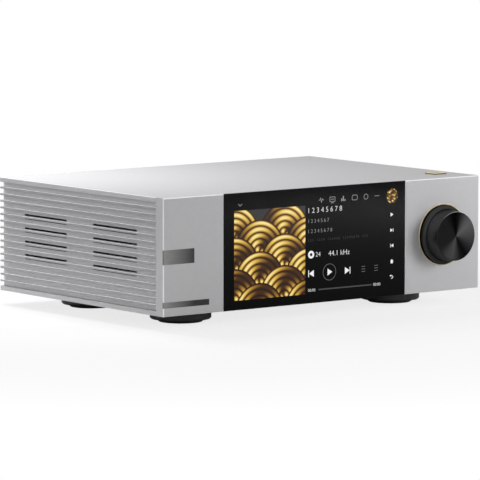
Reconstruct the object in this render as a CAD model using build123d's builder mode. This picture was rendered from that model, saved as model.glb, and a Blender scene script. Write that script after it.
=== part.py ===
"""A compact network music streamer: a flat aluminium case on four round feet.

The front is one thick plate with a flush black glass over a touch display, two small
inlay plates at the left edge and a large push-and-turn knob on the right. Each side is
an extruded comb of thin fins with ventilation windows cut through the wall behind every
second fin. The rear panel carries the mains inlet with its switch and fuse drawer, and
the audio, network and data sockets.

Millimetres. +X is to the right seen from the front, the front faces -Y, +Z is up. The
origin is at the middle of the whole object's footprint, on the plane the feet stand on.
"""

import os
from math import cos, radians, tan

from build123d import *

os.makedirs("parts", exist_ok=True)

# Case: overall sizes and plates
body_width = 270.0
body_depth = 187.0
body_height = 77.6
front_thickness = 8.0
cover_thickness = 3.1
base_thickness = 3.1
edge_chamfer = 0.6
cover_chamfer = 0.3

# Fit between pieces that are assembled and between pieces that run in each other
seat_gap = 0.1
loose_gap = 0.3
running_gap = 0.05

# Side panels: a wall with a comb of fins, and windows cut through the wall
side_wall = 3.0
fin_depth = 3.0
fin_thickness = 1.45
groove_count = 16
window_front_margin = 33.1
window_rear_margin = 25.3
window_gap = 30.6
window_first_count = 5
window_rows = 4
window_columns = 2
window_above_fin = 1.1
window_below_fin = 1.0

# Feet
foot_radius = 20.5
foot_thickness = 8.0
foot_chamfer = 0.8
foot_side_inset = 45.0
foot_front_inset = 41.5
foot_rear_inset = 44.0
pad_radius = 15.0
pad_thickness = 2.0
pad_chamfer = 0.5
foot_screw_radius = 2.0
foot_screw_head_radius = 4.0
foot_screw_head_height = 2.2

# Glass, display and what holds it
glass_left_margin = 49.7
glass_ring_gap = 12.05
glass_thickness = 1.8
glass_chamfer = 0.3
glass_edge_chamfer = 0.5
display_side_margin = 7.15
display_end_margin = 6.8
bracket_thickness = 1.2
bracket_side_lap = 8.0
bracket_end_lap = 2.5
bracket_window_side_lap = 22.0
bracket_window_end_lap = 15.0
display_board_lap = 7.0
display_board_height = 26.0
display_board_boss = 3.0
display_board_boss_radius = 3.0
board_thickness = 1.6
cable_width = 18.0
cable_thickness = 0.4
cable_bend = 6.0
cable_socket_inset = 5.0

# Inlay plates at the left edge of the front
inlay_thickness = 1.0
upper_inlay_length = 25.3
upper_inlay_height = 9.65
upper_inlay_bottom = 34.0
lower_inlay_length = 37.4
lower_inlay_height = 3.9
lower_inlay_bottom = 5.55

# Square badge in the top cover, standing a little above it
label_size = 10.5
label_thickness = 1.2
label_recess = 0.3
label_inset_x = 17.0
label_inset_y = 26.0
label_chamfer = 0.2

# Knob, its trim ring and the push-and-turn encoder behind it
knob_inset_x = 32.6
knob_projection = 14.3
knob_flange_radius = 20.15
knob_flange_front = 2.0
knob_flange_back = 0.3
knob_flange_width = 2.65
knob_root_front = 4.0
knob_taper = 0.7
knob_face_chamfer = 0.35
knob_side_wall = 3.3
knob_face_wall = 3.0
knob_boss_radius = 6.0
knob_boss_back = 4.5
knob_ring_gap = 0.35
ring_width = 0.85
ring_projection = 0.5
ring_chamfer = 0.25
knob_recess_depth = 1.5
encoder_wall = 3.0
bushing_radius = 4.5
bushing_projection = 3.2
shaft_radius = 3.0
encoder_size = 14.0
encoder_depth = 8.0
encoder_chamber_depth = 4.6
encoder_front_wall = 1.4
rotor_radius = 5.3
rotor_side_gap = 0.3
rotor_thickness = 2.6
rotor_setback = 0.3
press_travel = 0.5
press_reserve = 0.3
nut_across_flats = 12.0
nut_thickness = 2.0
encoder_board_size = 26.0

# Rear panel
rear_thickness = 3.0
rear_recess = 1.0

# Posts in the inner corners, and the case screws in them
post_size = 10.0
screw_radius = 1.5
screw_head_radius = 2.8
screw_head_height = 1.7
screw_length = 10.0
rear_screw_margin = 11.0

# Circuit boards on the bottom plate
standoff_height = 6.0
standoff_radius = 3.0
standoff_neck_radius = 1.5
standoff_nut_radius = 2.4
standoff_nut_height = 1.8
standoff_margin = 5.0
standoff_rear_margin = 24.0
board_post_gap = 1.0
power_board_share = 0.2
main_board_share = 0.35
dac_board_share = 0.41
main_board_depth = 112.0
dac_board_depth = 100.0
power_board_gap = 6.0
capacitor_radius = 9.0
capacitor_height = 32.0
capacitor_pitch_share = 0.57
capacitor_chamfer = 1.0
chip_size = 24.0
chip_height = 2.2
chip_inset_y = 40.0
heatsink_size = 44.0
heatsink_base = 4.0
heatsink_height = 20.0
heatsink_fins = 9
heatsink_fin_thickness = 1.4
shield_width = 62.0
shield_depth = 46.0
shield_height = 13.0
shield_wall = 0.8
shield_inset_y = 20.0
transformer_radius = 27.0
transformer_bore = 8.0
transformer_height = 34.0
transformer_chamfer = 5.0
transformer_gap = 4.0
transformer_side_gap = 2.0
transformer_board_gap = 7.0
bolt_radius = 2.5
bolt_washer_radius = 15.0
bolt_washer_thickness = 2.0
bolt_head_radius = 4.5
bolt_head_height = 3.5

# Service hatch in the bottom plate, over the drive slot
hatch_length = 92.0
hatch_width = 32.0
hatch_thickness = 1.4
hatch_lip = 5.0
hatch_corner = 3.0
hatch_screw_radius = 1.0
hatch_head_radius = 2.0
hatch_head_height = 0.8

# Mains inlet with its switch and fuse drawer
inlet_post_gap = 1.3
inlet_wall = 1.5
inlet_flange_rim = 1.8
inlet_flange_thickness = 2.0
inlet_flange_corner = 2.5
inlet_body_height = 53.0
inlet_body_depth = 30.0
socket_width = 24.4
socket_height = 16.6
socket_depth = 17.0
socket_corner = 4.2
socket_drop = 3.0
blade_width = 2.0
blade_height = 4.0
blade_length = 12.0
blade_pitch = 7.0
blade_rise = 2.0
rocker_width = 19.0
rocker_radius = 6.3
rocker_face = 2.4
rocker_lean = 8.0
rocker_rise_share = 0.34
rocker_setback = 1.2
rocker_pin_radius = 1.2
rocker_pin_length = 1.0
drawer_width = 20.0
drawer_height = 8.0
drawer_drop_share = 0.385
drawer_gap = 0.2
drawer_front_wall = 1.6
drawer_rear_wall = 1.8
drawer_floor = 1.2
drawer_notch_width = 8.0
drawer_notch_height = 3.0
drawer_notch_depth = 0.8
fuse_radius = 2.6
fuse_length = 20.0
fuse_gap = 0.3

# Balanced audio outputs
xlr_gap = 4.0
xlr_height_share = 0.685
xlr_side_rim = 1.1
xlr_end_rim = 3.6
xlr_flange_thickness = 2.0
xlr_flange_corner = 3.5
xlr_body_radius = 11.9
xlr_body_depth = 21.0
xlr_bore_radius = 9.3
xlr_bore_depth = 17.0
xlr_pin_radius = 1.2
xlr_pin_length = 12.0
xlr_pin_circle = 4.6
xlr_screw_margin = 3.5

# Coaxial sockets on the audio board
rca_rise = 20.0
rca_block_width = 13.0
rca_block_depth = 9.0
rca_collar_radius = 5.4
rca_collar_projection = 0.8
rca_barrel_radius = 4.15
rca_projection = 9.5
rca_bore_radius = 1.6
rca_bore_depth = 8.0

# Optical sockets with their sprung shutters
optical_side_wall = 0.9
optical_end_wall = 1.2
optical_depth = 15.0
optical_cavity_width = 8.0
optical_cavity_height = 9.0
optical_cavity_depth = 11.5
optical_projection = 0.5
shutter_thickness = 0.8
shutter_setback = 2.0
shutter_hinge_drop = 0.9
shutter_pin_radius = 0.5
shutter_pin_length = 0.5
shutter_gap = 0.2

# Data sockets on the main board
socket_projection = 0.8
usb_side_wall = 0.55
usb_end_wall = 1.15
usb_stack_web = 0.8
usb_stack_count = 2
usb_single_count = 1
usb_block_depth = 17.0
usb_mouth_width = 12.5
usb_mouth_height = 5.1
usb_mouth_depth = 12.0
usb_tongue_side_gap = 0.85
usb_tongue_height = 1.85
usb_tongue_setback = 1.0
usb_tongue_rise = 0.9
lan_width = 16.0
lan_height = 13.6
lan_depth = 18.0
lan_mouth_width = 11.8
lan_mouth_height = 7.4
lan_mouth_depth = 14.0
lan_mouth_rise = 3.4
lan_latch_width = 6.4
lan_latch_height = 1.6
hdmi_side_wall = 0.7
hdmi_end_wall = 0.9
hdmi_depth = 12.0
hdmi_mouth_width = 14.0
hdmi_mouth_height = 4.6
hdmi_mouth_foot_width = 11.0
hdmi_mouth_depth = 9.0
hdmi_tongue_width = 11.0
hdmi_tongue_height = 1.3
hdmi_tongue_setback = 1.2

# Antenna sockets
antenna_xlr_gap = 33.0
antenna_inlet_gap = 34.0
antenna_height_share = 0.8
antenna_barrel_radius = 3.175
antenna_projection = 9.0
antenna_nut_across_flats = 8.0
antenna_nut_thickness = 2.0
antenna_body_radius = 4.6
antenna_body_depth = 6.0
antenna_bore_radius = 2.3
antenna_bore_depth = 5.5
antenna_pin_radius = 0.6
antenna_pin_length = 4.0

# Places worked out from the sizes above
body_bottom = foot_thickness + pad_thickness
body_top = body_bottom + body_height
body_middle = (body_bottom + body_top) / 2
inner_bottom = body_bottom + base_thickness
inner_top = body_top - cover_thickness
inner_height = inner_top - inner_bottom
rear_reach = max(rca_projection, antenna_projection) - rear_recess
front_y = knob_projection - (knob_projection + body_depth + rear_reach) / 2
inner_front = front_y + front_thickness
rear_y = front_y + body_depth
panel_y = rear_y - rear_recess
inner_rear = panel_y - rear_thickness
side_thickness = side_wall + fin_depth
inner_half_width = body_width / 2 - side_thickness
board_bottom = inner_bottom + standoff_height
board_top = board_bottom + board_thickness
board_rear = inner_rear - loose_gap
board_reach = inner_half_width - post_size - board_post_gap

# Sizes of the rear sockets worked out from their mouths and walls
inlet_body_width = socket_width + 2 * inlet_wall
inlet_flange_width = inlet_body_width + 2 * inlet_flange_rim
inlet_flange_height = inlet_body_height + 2 * inlet_flange_rim
xlr_flange_width = 2 * (xlr_body_radius + xlr_side_rim)
xlr_flange_height = 2 * (xlr_body_radius + xlr_end_rim)
xlr_screw_x = xlr_flange_width / 2 - xlr_screw_margin
xlr_screw_z = xlr_flange_height / 2 - xlr_screw_margin
optical_width = optical_cavity_width + 2 * optical_side_wall
optical_height = optical_cavity_height + 2 * optical_end_wall
usb_block_width = usb_mouth_width + 2 * usb_side_wall
usb_single_height = usb_mouth_height + 2 * usb_end_wall
usb_stack_height = usb_stack_count * usb_single_height + usb_stack_web
usb_tongue_width = usb_mouth_width - 2 * usb_tongue_side_gap
hdmi_width = hdmi_mouth_width + 2 * hdmi_side_wall
hdmi_height = hdmi_mouth_height + 2 * hdmi_end_wall

# Three boards side by side between the posts, each as wide as its share of the room
power_board_width = power_board_share * 2 * board_reach
main_board_width = main_board_share * 2 * board_reach
dac_board_width = dac_board_share * 2 * board_reach
power_board_x = power_board_width / 2 - board_reach
dac_board_x = board_reach - dac_board_width / 2
main_board_x = (power_board_width - dac_board_width) / 2


def spread(middle, width, widths):
    """The middles of pieces that stand in one row with even gaps between and beside them."""
    gap = (width - sum(widths)) / (len(widths) + 1)
    edge = middle - width / 2
    return [
        edge + (i + 1) * gap + sum(widths[:i]) + piece_width / 2
        for i, piece_width in enumerate(widths)
    ]


data_widths = [hdmi_width, usb_block_width, usb_block_width, lan_width]
hdmi_x, usb_x, usb_audio_x, lan_x = spread(main_board_x, main_board_width, data_widths)
audio_widths = 2 * [optical_width] + 4 * [rca_block_width]
audio_row = spread(dac_board_x, dac_board_width, audio_widths)
optical_in_x, optical_out_x, coax_in_x, coax_out_x, rca_left_x, rca_right_x = audio_row
inlet_x = post_size + inlet_post_gap + inlet_body_width / 2 - inner_half_width
xlr_right_x = board_reach - xlr_flange_width / 2
xlr_left_x = xlr_right_x - xlr_flange_width - xlr_gap
antenna_left_x = xlr_left_x - antenna_xlr_gap
antenna_right_x = inlet_x + antenna_inlet_gap


def upright(y):
    """The plane at depth y whose own axes are X and Z; it faces the front."""
    return Plane.XZ.offset(-y)


def sideways(x):
    """The plane at width x whose own axes are Y and Z; it faces the right."""
    return Plane.YZ.offset(x)


def write_piece(piece, name):
    """Label one finished piece and write it to its own file."""
    piece.part.label = name
    export_step(piece.part, f"parts/{name}.step")


# Front plate: glass pocket, display window, inlay seats and knob recess
knob_x = body_width / 2 - knob_inset_x
knob_z = body_middle
ring_inner_radius = knob_flange_radius + knob_ring_gap
ring_outer_radius = ring_inner_radius + ring_width
glass_left = glass_left_margin - body_width / 2
glass_right = knob_x - ring_outer_radius - glass_ring_gap
glass_width = glass_right - glass_left
glass_centre_x = (glass_left + glass_right) / 2
glass_height = body_height
display_width = glass_width - 2 * display_side_margin
display_height = glass_height - 2 * display_end_margin
display_middle = body_middle
ring_floor = front_y + knob_recess_depth
encoder_front = ring_floor + encoder_wall
inlay_seats = (
    ("upper_inlay_plate", upper_inlay_length, upper_inlay_height, upper_inlay_bottom),
    ("lower_inlay_plate", lower_inlay_length, lower_inlay_height, lower_inlay_bottom),
)

with BuildPart() as front_panel:
    with BuildSketch(upright(front_y)):
        with Locations((0, body_middle)):
            Rectangle(body_width, body_height)
    extrude(amount=-front_thickness)
    chamfer(front_panel.faces().sort_by(Axis.Y)[0].edges(), edge_chamfer)
    with BuildSketch(upright(front_y)):
        with Locations((glass_centre_x, body_middle)):
            Rectangle(glass_width + 2 * seat_gap, glass_height)
    extrude(amount=-glass_thickness, mode=Mode.SUBTRACT)
    pocket_sides = front_panel.edges().filter_by(Axis.Z).group_by(Axis.Y)[0]
    chamfer(
        pocket_sides.filter_by_position(
            Axis.X, glass_left - glass_thickness, glass_right + glass_thickness
        ),
        glass_edge_chamfer,
    )
    with BuildSketch(upright(front_y)):
        with Locations((glass_centre_x, display_middle)):
            Rectangle(display_width + 2 * loose_gap, display_height + 2 * loose_gap)
    extrude(amount=-front_thickness, mode=Mode.SUBTRACT)
    for _, seat_length, seat_height, seat_bottom in inlay_seats:
        with BuildSketch(upright(front_y)):
            with Locations((-body_width / 2, body_bottom + seat_bottom)):
                Rectangle(2 * seat_length, seat_height, align=(Align.CENTER, Align.MIN))
        extrude(amount=-inlay_thickness, mode=Mode.SUBTRACT)
    with BuildSketch(upright(front_y)):
        with Locations((knob_x, knob_z)):
            Circle(ring_outer_radius)
    extrude(amount=-knob_recess_depth, mode=Mode.SUBTRACT)
    with BuildSketch(upright(front_y)):
        with Locations((knob_x, knob_z)):
            Circle(bushing_radius + seat_gap)
    extrude(amount=-front_thickness, mode=Mode.SUBTRACT)
    with BuildSketch(upright(encoder_front)):
        with Locations((knob_x, knob_z)):
            Rectangle(encoder_size + 2 * loose_gap, encoder_size + 2 * loose_gap)
    extrude(amount=-front_thickness, mode=Mode.SUBTRACT)
write_piece(front_panel, "front_panel")

# Inlay plates: their left end carries on the chamfer of the plate's edge
for inlay_name, inlay_length, inlay_height, inlay_bottom in inlay_seats:
    with BuildPart() as inlay:
        with BuildSketch(upright(front_y)):
            with Locations((-body_width / 2, body_bottom + inlay_bottom)):
                Rectangle(inlay_length, inlay_height, align=(Align.MIN, Align.MIN))
        extrude(amount=-inlay_thickness)
        left_edges = inlay.edges().filter_by(Axis.Z).group_by(Axis.X)[0]
        chamfer(left_edges.group_by(Axis.Y)[0], edge_chamfer)
    write_piece(inlay, inlay_name)

# Glass over the display, flush with the front and over its whole height
with BuildPart() as front_glass:
    with BuildSketch(upright(front_y)):
        with Locations((glass_centre_x, body_middle)):
            Rectangle(glass_width, glass_height)
    extrude(amount=-glass_thickness)
    front_edges = front_glass.faces().sort_by(Axis.Y)[0].edges()
    chamfer(front_edges.filter_by(Axis.X), glass_chamfer)
write_piece(front_glass, "front_glass")

# Display bonded to the back of the glass, its back level with the plate's
with BuildPart() as display_module:
    with BuildSketch(upright(front_y + glass_thickness)):
        with Locations((glass_centre_x, display_middle)):
            Rectangle(display_width, display_height)
    extrude(amount=glass_thickness - front_thickness)
write_piece(display_module, "display_module")

# Bracket that clamps the display, with four bosses for its board
bracket_width = display_width + 2 * bracket_side_lap
bracket_height = display_height + 2 * bracket_end_lap
bracket_window_width = display_width - 2 * bracket_window_side_lap
bracket_window_height = display_height - 2 * bracket_window_end_lap
display_board_width = bracket_window_width + 2 * display_board_lap
boss_x = display_board_width / 2 - display_board_boss_radius
boss_z = display_board_height / 2 - display_board_boss_radius
bracket_rear = inner_front + bracket_thickness
with BuildPart() as display_bracket:
    with BuildSketch(upright(inner_front)):
        with Locations((glass_centre_x, display_middle)):
            Rectangle(bracket_width, bracket_height)
        with Locations((glass_centre_x, display_middle)):
            Rectangle(bracket_window_width, bracket_window_height, mode=Mode.SUBTRACT)
    extrude(amount=-bracket_thickness)
    with BuildSketch(upright(bracket_rear)):
        with Locations((glass_centre_x, display_middle)):
            with GridLocations(2 * boss_x, 2 * boss_z, 2, 2):
                Circle(display_board_boss_radius)
    extrude(amount=-display_board_boss)
write_piece(display_bracket, "display_bracket")

display_board_front = bracket_rear + display_board_boss
with BuildPart() as display_board:
    with BuildSketch(upright(display_board_front)):
        with Locations((glass_centre_x, display_middle)):
            Rectangle(display_board_width, display_board_height)
    extrude(amount=-board_thickness)
write_piece(display_board, "display_board")

# Side panels: an extruded comb, with windows through the wall behind every second fin
groove_height = (inner_height - (groove_count - 1) * fin_thickness) / groove_count
fin_pitch = groove_height + fin_thickness
first_window_z = inner_top - window_first_count * fin_pitch + fin_thickness / 2
window_height = window_below_fin + fin_thickness + window_above_fin
window_lift = (window_above_fin - window_below_fin) / 2
window_middle_z = first_window_z + window_lift - (window_rows - 1) * fin_pitch
window_span = body_depth - window_front_margin - window_rear_margin
window_length = (window_span - (window_columns - 1) * window_gap) / window_columns
window_pitch_y = window_length + window_gap
window_middle_y = front_y + window_front_margin + window_span / 2
for side_name, side in (("left_side_panel", -1), ("right_side_panel", 1)):
    wall_middle = side * (inner_half_width + side_wall / 2)
    fin_middle = side * (inner_half_width + side_wall + fin_depth / 2)
    with BuildPart() as side_panel:
        with BuildSketch(upright(inner_front)):
            with Locations((wall_middle, (inner_bottom + inner_top) / 2)):
                Rectangle(side_wall, inner_height)
            with Locations((fin_middle, (inner_bottom + inner_top) / 2)):
                with GridLocations(fin_depth, fin_pitch, 1, groove_count - 1):
                    Rectangle(fin_depth, fin_thickness)
        extrude(amount=inner_front - rear_y)
        with BuildSketch(sideways(side * inner_half_width)):
            with Locations((window_middle_y, window_middle_z)):
                with GridLocations(window_pitch_y, 2 * fin_pitch, window_columns, window_rows):
                    Rectangle(window_length, window_height)
        extrude(amount=side * side_wall, mode=Mode.SUBTRACT)
    write_piece(side_panel, side_name)

# Top cover with a shallow square seat for the badge
label_x = body_width / 2 - label_inset_x
label_y = front_y + label_inset_y
with BuildPart() as top_cover:
    with BuildSketch(Plane.XY.offset(inner_top)):
        with Locations((0, (inner_front + rear_y) / 2)):
            Rectangle(body_width, rear_y - inner_front)
    extrude(amount=cover_thickness)
    rim = top_cover.faces().sort_by(Axis.Z)[-1].edges()
    chamfer(rim.filter_by(Axis.Y) + rim.sort_by(Axis.Y)[-1:], cover_chamfer)
    with BuildSketch(Plane.XY.offset(body_top)):
        with Locations((label_x, label_y)):
            Rectangle(label_size + 2 * seat_gap, label_size + 2 * seat_gap)
    extrude(amount=-label_recess, mode=Mode.SUBTRACT)
write_piece(top_cover, "top_cover")

with BuildPart() as top_label:
    with BuildSketch(Plane.XY.offset(body_top - label_recess)):
        with Locations((label_x, label_y)):
            Rectangle(label_size, label_size)
    extrude(amount=label_thickness)
    chamfer(top_label.faces().sort_by(Axis.Z)[-1].edges(), label_chamfer)
write_piece(top_label, "top_label")

# Corner posts, and the places of the screws that hold the plates to them
post_x = inner_half_width - post_size / 2
post_front_y = inner_front + post_size / 2
post_rear_y = inner_rear - post_size / 2
post_places = ((-post_x, post_front_y), (post_x, post_front_y))
post_places = post_places + ((-post_x, post_rear_y), (post_x, post_rear_y))
screw_hole_radius = screw_radius + seat_gap
rear_screw_heights = (inner_bottom + rear_screw_margin, inner_top - rear_screw_margin)
rear_screw_places = [(x, z) for x in (-post_x, post_x) for z in rear_screw_heights]
with BuildPart() as corner_posts:
    with BuildSketch(Plane.XY.offset(inner_bottom)):
        with Locations(*post_places):
            Rectangle(post_size, post_size)
    extrude(amount=inner_height)
    with BuildSketch(Plane.XY.offset(inner_bottom)):
        with Locations(*post_places):
            Circle(screw_hole_radius)
    extrude(amount=screw_length, mode=Mode.SUBTRACT)
    with BuildSketch(upright(inner_rear)):
        with Locations(*rear_screw_places):
            Circle(screw_hole_radius)
    extrude(amount=screw_length - rear_thickness + seat_gap, mode=Mode.SUBTRACT)
write_piece(corner_posts, "corner_posts")

# Bottom plate: holes for posts, feet and the transformer, and the hatch opening
foot_x = body_width / 2 - foot_side_inset
foot_front_y = front_y + foot_front_inset
foot_rear_y = rear_y - foot_rear_inset
foot_places = (
    ("foot_front_left", -foot_x, foot_front_y),
    ("foot_front_right", foot_x, foot_front_y),
    ("foot_rear_left", -foot_x, foot_rear_y),
    ("foot_rear_right", foot_x, foot_rear_y),
)
transformer_x = transformer_side_gap + transformer_radius - inner_half_width
transformer_y = inner_front + transformer_gap + transformer_radius
hatch_x = main_board_x
hatch_y = board_rear - main_board_depth / 2
hatch_opening_length = hatch_length - 2 * hatch_lip
hatch_opening_width = hatch_width - 2 * hatch_lip
hatch_screw_y = hatch_y + hatch_length / 2 - hatch_lip / 2
with BuildPart() as bottom_plate:
    with BuildSketch(Plane.XY.offset(body_bottom)):
        with Locations((0, (inner_front + rear_y) / 2)):
            Rectangle(body_width, rear_y - inner_front)
        with Locations(*post_places):
            Circle(screw_hole_radius, mode=Mode.SUBTRACT)
        with Locations(*[(x, y) for _, x, y in foot_places]):
            Circle(foot_screw_radius + running_gap, mode=Mode.SUBTRACT)
        with Locations((transformer_x, transformer_y)):
            Circle(bolt_radius + seat_gap, mode=Mode.SUBTRACT)
        with Locations((hatch_x, hatch_y)):
            Rectangle(hatch_opening_width, hatch_opening_length, mode=Mode.SUBTRACT)
        with Locations((hatch_x, hatch_screw_y)):
            Circle(hatch_screw_radius + running_gap, mode=Mode.SUBTRACT)
    extrude(amount=base_thickness)
    with BuildSketch(Plane.XY.offset(body_bottom)):
        with Locations((hatch_x, hatch_y)):
            RectangleRounded(hatch_width + 2 * seat_gap, hatch_length + 2 * seat_gap, hatch_corner)
    extrude(amount=hatch_thickness, mode=Mode.SUBTRACT)
    with BuildSketch(Plane.XY.offset(body_bottom)):
        with Locations(*post_places):
            Circle(screw_head_radius + seat_gap)
    extrude(amount=screw_head_height, mode=Mode.SUBTRACT)
write_piece(bottom_plate, "bottom_plate")

with BuildPart() as ssd_hatch:
    with BuildSketch(Plane.XY.offset(body_bottom)):
        with Locations((hatch_x, hatch_y)):
            RectangleRounded(hatch_width, hatch_length, hatch_corner)
        with Locations((hatch_x, hatch_screw_y)):
            Circle(hatch_screw_radius + running_gap, mode=Mode.SUBTRACT)
    extrude(amount=hatch_thickness)
    with BuildSketch(Plane.XY.offset(body_bottom)):
        with Locations((hatch_x, hatch_screw_y)):
            Circle(hatch_head_radius + running_gap)
    extrude(amount=hatch_head_height, mode=Mode.SUBTRACT)
write_piece(ssd_hatch, "ssd_hatch")

# Feet: a rounded disc screwed to the bottom plate, and a rubber pad that hides the screw
for foot_name, place_x, place_y in foot_places:
    with BuildPart() as foot:
        with BuildSketch(Plane.XY.offset(pad_thickness)):
            with Locations((place_x, place_y)):
                Circle(foot_radius)
        extrude(amount=foot_thickness)
        chamfer(foot.edges().group_by(Axis.Z)[0], foot_chamfer)
        with BuildSketch(Plane.XY.offset(pad_thickness)):
            with Locations((place_x, place_y)):
                Circle(foot_screw_radius + seat_gap)
        extrude(amount=foot_thickness, mode=Mode.SUBTRACT)
        with BuildSketch(Plane.XY.offset(pad_thickness)):
            with Locations((place_x, place_y)):
                Circle(foot_screw_head_radius + seat_gap)
        extrude(amount=foot_screw_head_height, mode=Mode.SUBTRACT)
    write_piece(foot, foot_name)

with BuildPart() as foot_pads:
    with BuildSketch(Plane.XY):
        with Locations(*[(x, y) for _, x, y in foot_places]):
            Circle(pad_radius)
    extrude(amount=pad_thickness)
    chamfer(foot_pads.edges().group_by(Axis.Z)[0], pad_chamfer)
write_piece(foot_pads, "foot_pads")

with BuildPart() as foot_screws:
    with BuildSketch(Plane.XY.offset(pad_thickness)):
        with Locations(*[(x, y) for _, x, y in foot_places]):
            Circle(foot_screw_head_radius)
    extrude(amount=foot_screw_head_height)
    with BuildSketch(Plane.XY.offset(pad_thickness)):
        with Locations(*[(x, y) for _, x, y in foot_places]):
            Circle(foot_screw_radius)
    extrude(amount=foot_thickness + base_thickness)
write_piece(foot_screws, "foot_screws")

# Sockets of the rear panel, by name, place and the size of their cut-out
socket_level = board_top
optical_places = (("optical_in", optical_in_x), ("optical_out", optical_out_x))
rca_places = (
    ("coax_in", coax_in_x),
    ("coax_out", coax_out_x),
    ("rca_left", rca_left_x),
    ("rca_right", rca_right_x),
)
xlr_places = (("xlr_left", xlr_left_x), ("xlr_right", xlr_right_x))
antenna_places = (("antenna_left", antenna_left_x), ("antenna_right", antenna_right_x))
rca_z = body_bottom + rca_rise
xlr_z = inner_bottom + xlr_height_share * inner_height
antenna_z = inner_bottom + antenna_height_share * inner_height
block_cutouts = (
    (usb_x, usb_block_width, usb_stack_height),
    (usb_audio_x, usb_block_width, usb_single_height),
    (lan_x, lan_width, lan_height),
    (hdmi_x, hdmi_width, hdmi_height),
    (optical_in_x, optical_width, optical_height),
    (optical_out_x, optical_width, optical_height),
)
with BuildPart() as rear_panel:
    with BuildSketch(upright(inner_rear)):
        with Locations((0, (inner_bottom + inner_top) / 2)):
            Rectangle(2 * inner_half_width, inner_height)
        with Locations((inlet_x, body_middle)):
            Rectangle(
                inlet_body_width + 2 * loose_gap,
                inlet_body_height + 2 * loose_gap,
                mode=Mode.SUBTRACT,
            )
        for cut_x, cut_width, cut_height in block_cutouts:
            with Locations((cut_x, socket_level + cut_height / 2)):
                Rectangle(
                    cut_width + 2 * loose_gap, cut_height + 2 * loose_gap, mode=Mode.SUBTRACT
                )
        with Locations(*[(x, rca_z) for _, x in rca_places]):
            Circle(rca_collar_radius + seat_gap, mode=Mode.SUBTRACT)
        with Locations(*[(x, xlr_z) for _, x in xlr_places]):
            Circle(xlr_body_radius + seat_gap, mode=Mode.SUBTRACT)
        with Locations(*[(x, antenna_z) for _, x in antenna_places]):
            Circle(antenna_barrel_radius + seat_gap, mode=Mode.SUBTRACT)
        with Locations(*rear_screw_places):
            Circle(screw_hole_radius, mode=Mode.SUBTRACT)
        with Locations(*[(x, xlr_z) for _, x in xlr_places]):
            with Locations((xlr_screw_x, xlr_screw_z), (-xlr_screw_x, -xlr_screw_z)):
                Circle(screw_hole_radius, mode=Mode.SUBTRACT)
    extrude(amount=-rear_thickness)
write_piece(rear_panel, "rear_panel")

# Circuit boards, each with the holes of its four supports
main_board_y = board_rear - main_board_depth / 2
dac_board_y = board_rear - dac_board_depth / 2
power_board_rear = inner_rear - inlet_body_depth - power_board_gap
power_board_front = transformer_y + transformer_radius + transformer_board_gap
power_board_depth = power_board_rear - power_board_front
power_board_y = (power_board_front + power_board_rear) / 2
chip_y = board_rear - main_board_depth + chip_inset_y
board_plans = (
    ("mainboard", main_board_x, main_board_y, main_board_width, main_board_depth),
    ("dac_board", dac_board_x, dac_board_y, dac_board_width, dac_board_depth),
    ("power_board", power_board_x, power_board_y, power_board_width, power_board_depth),
)
support_places = []
for board_name, board_x, board_y, board_width, board_depth in board_plans:
    support_x = board_width / 2 - standoff_margin
    support_front_y = board_y - board_depth / 2 + standoff_margin
    support_rear_y = board_y + board_depth / 2 - standoff_rear_margin
    corners = [
        (board_x + side * support_x, support_y)
        for side in (-1, 1)
        for support_y in (support_front_y, support_rear_y)
    ]
    support_places.extend(corners)
    with BuildPart() as board:
        with BuildSketch(Plane.XY.offset(board_bottom)):
            with Locations((board_x, board_y)):
                Rectangle(board_width, board_depth)
            with Locations(*corners):
                Circle(standoff_neck_radius + seat_gap, mode=Mode.SUBTRACT)
        extrude(amount=board_thickness)
        if board_name == "mainboard":
            with BuildSketch(Plane.XY.offset(board_top)):
                with Locations((main_board_x, chip_y)):
                    Rectangle(chip_size, chip_size)
            extrude(amount=chip_height)
        if board_name == "power_board":
            with BuildSketch(Plane.XY.offset(board_top)):
                with Locations((power_board_x, power_board_y)):
                    with GridLocations(0, capacitor_pitch_share * power_board_depth, 1, 2):
                        Circle(capacitor_radius)
            extrude(amount=capacitor_height)
            can_tops = board.faces().filter_by(Axis.Z).sort_by(Axis.Z)[-2:]
            chamfer(can_tops.edges(), capacitor_chamfer)
    write_piece(board, board_name)

# Board supports: a hexagonal post, a neck through the board and a nut above it
with BuildPart() as board_supports:
    with BuildSketch(Plane.XY.offset(inner_bottom)):
        with Locations(*support_places):
            RegularPolygon(standoff_radius, 6)
    extrude(amount=standoff_height)
    with BuildSketch(Plane.XY.offset(board_bottom)):
        with Locations(*support_places):
            Circle(standoff_neck_radius)
    extrude(amount=board_thickness)
    with BuildSketch(Plane.XY.offset(board_top)):
        with Locations(*support_places):
            RegularPolygon(standoff_nut_radius, 6)
    extrude(amount=standoff_nut_height)
write_piece(board_supports, "board_supports")

# Heatsink on the processor, with upright fins
heatsink_bottom = board_top + chip_height
fin_spacing = (heatsink_size - heatsink_fin_thickness) / (heatsink_fins - 1)
with BuildPart() as processor_heatsink:
    with BuildSketch(Plane.XY.offset(heatsink_bottom)):
        with Locations((main_board_x, chip_y)):
            Rectangle(heatsink_size, heatsink_size)
    extrude(amount=heatsink_base)
    with BuildSketch(Plane.XY.offset(heatsink_bottom)):
        with Locations((main_board_x, chip_y)):
            with GridLocations(fin_spacing, 0, heatsink_fins, 1):
                Rectangle(heatsink_fin_thickness, heatsink_size)
    extrude(amount=heatsink_height)
write_piece(processor_heatsink, "processor_heatsink")

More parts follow.
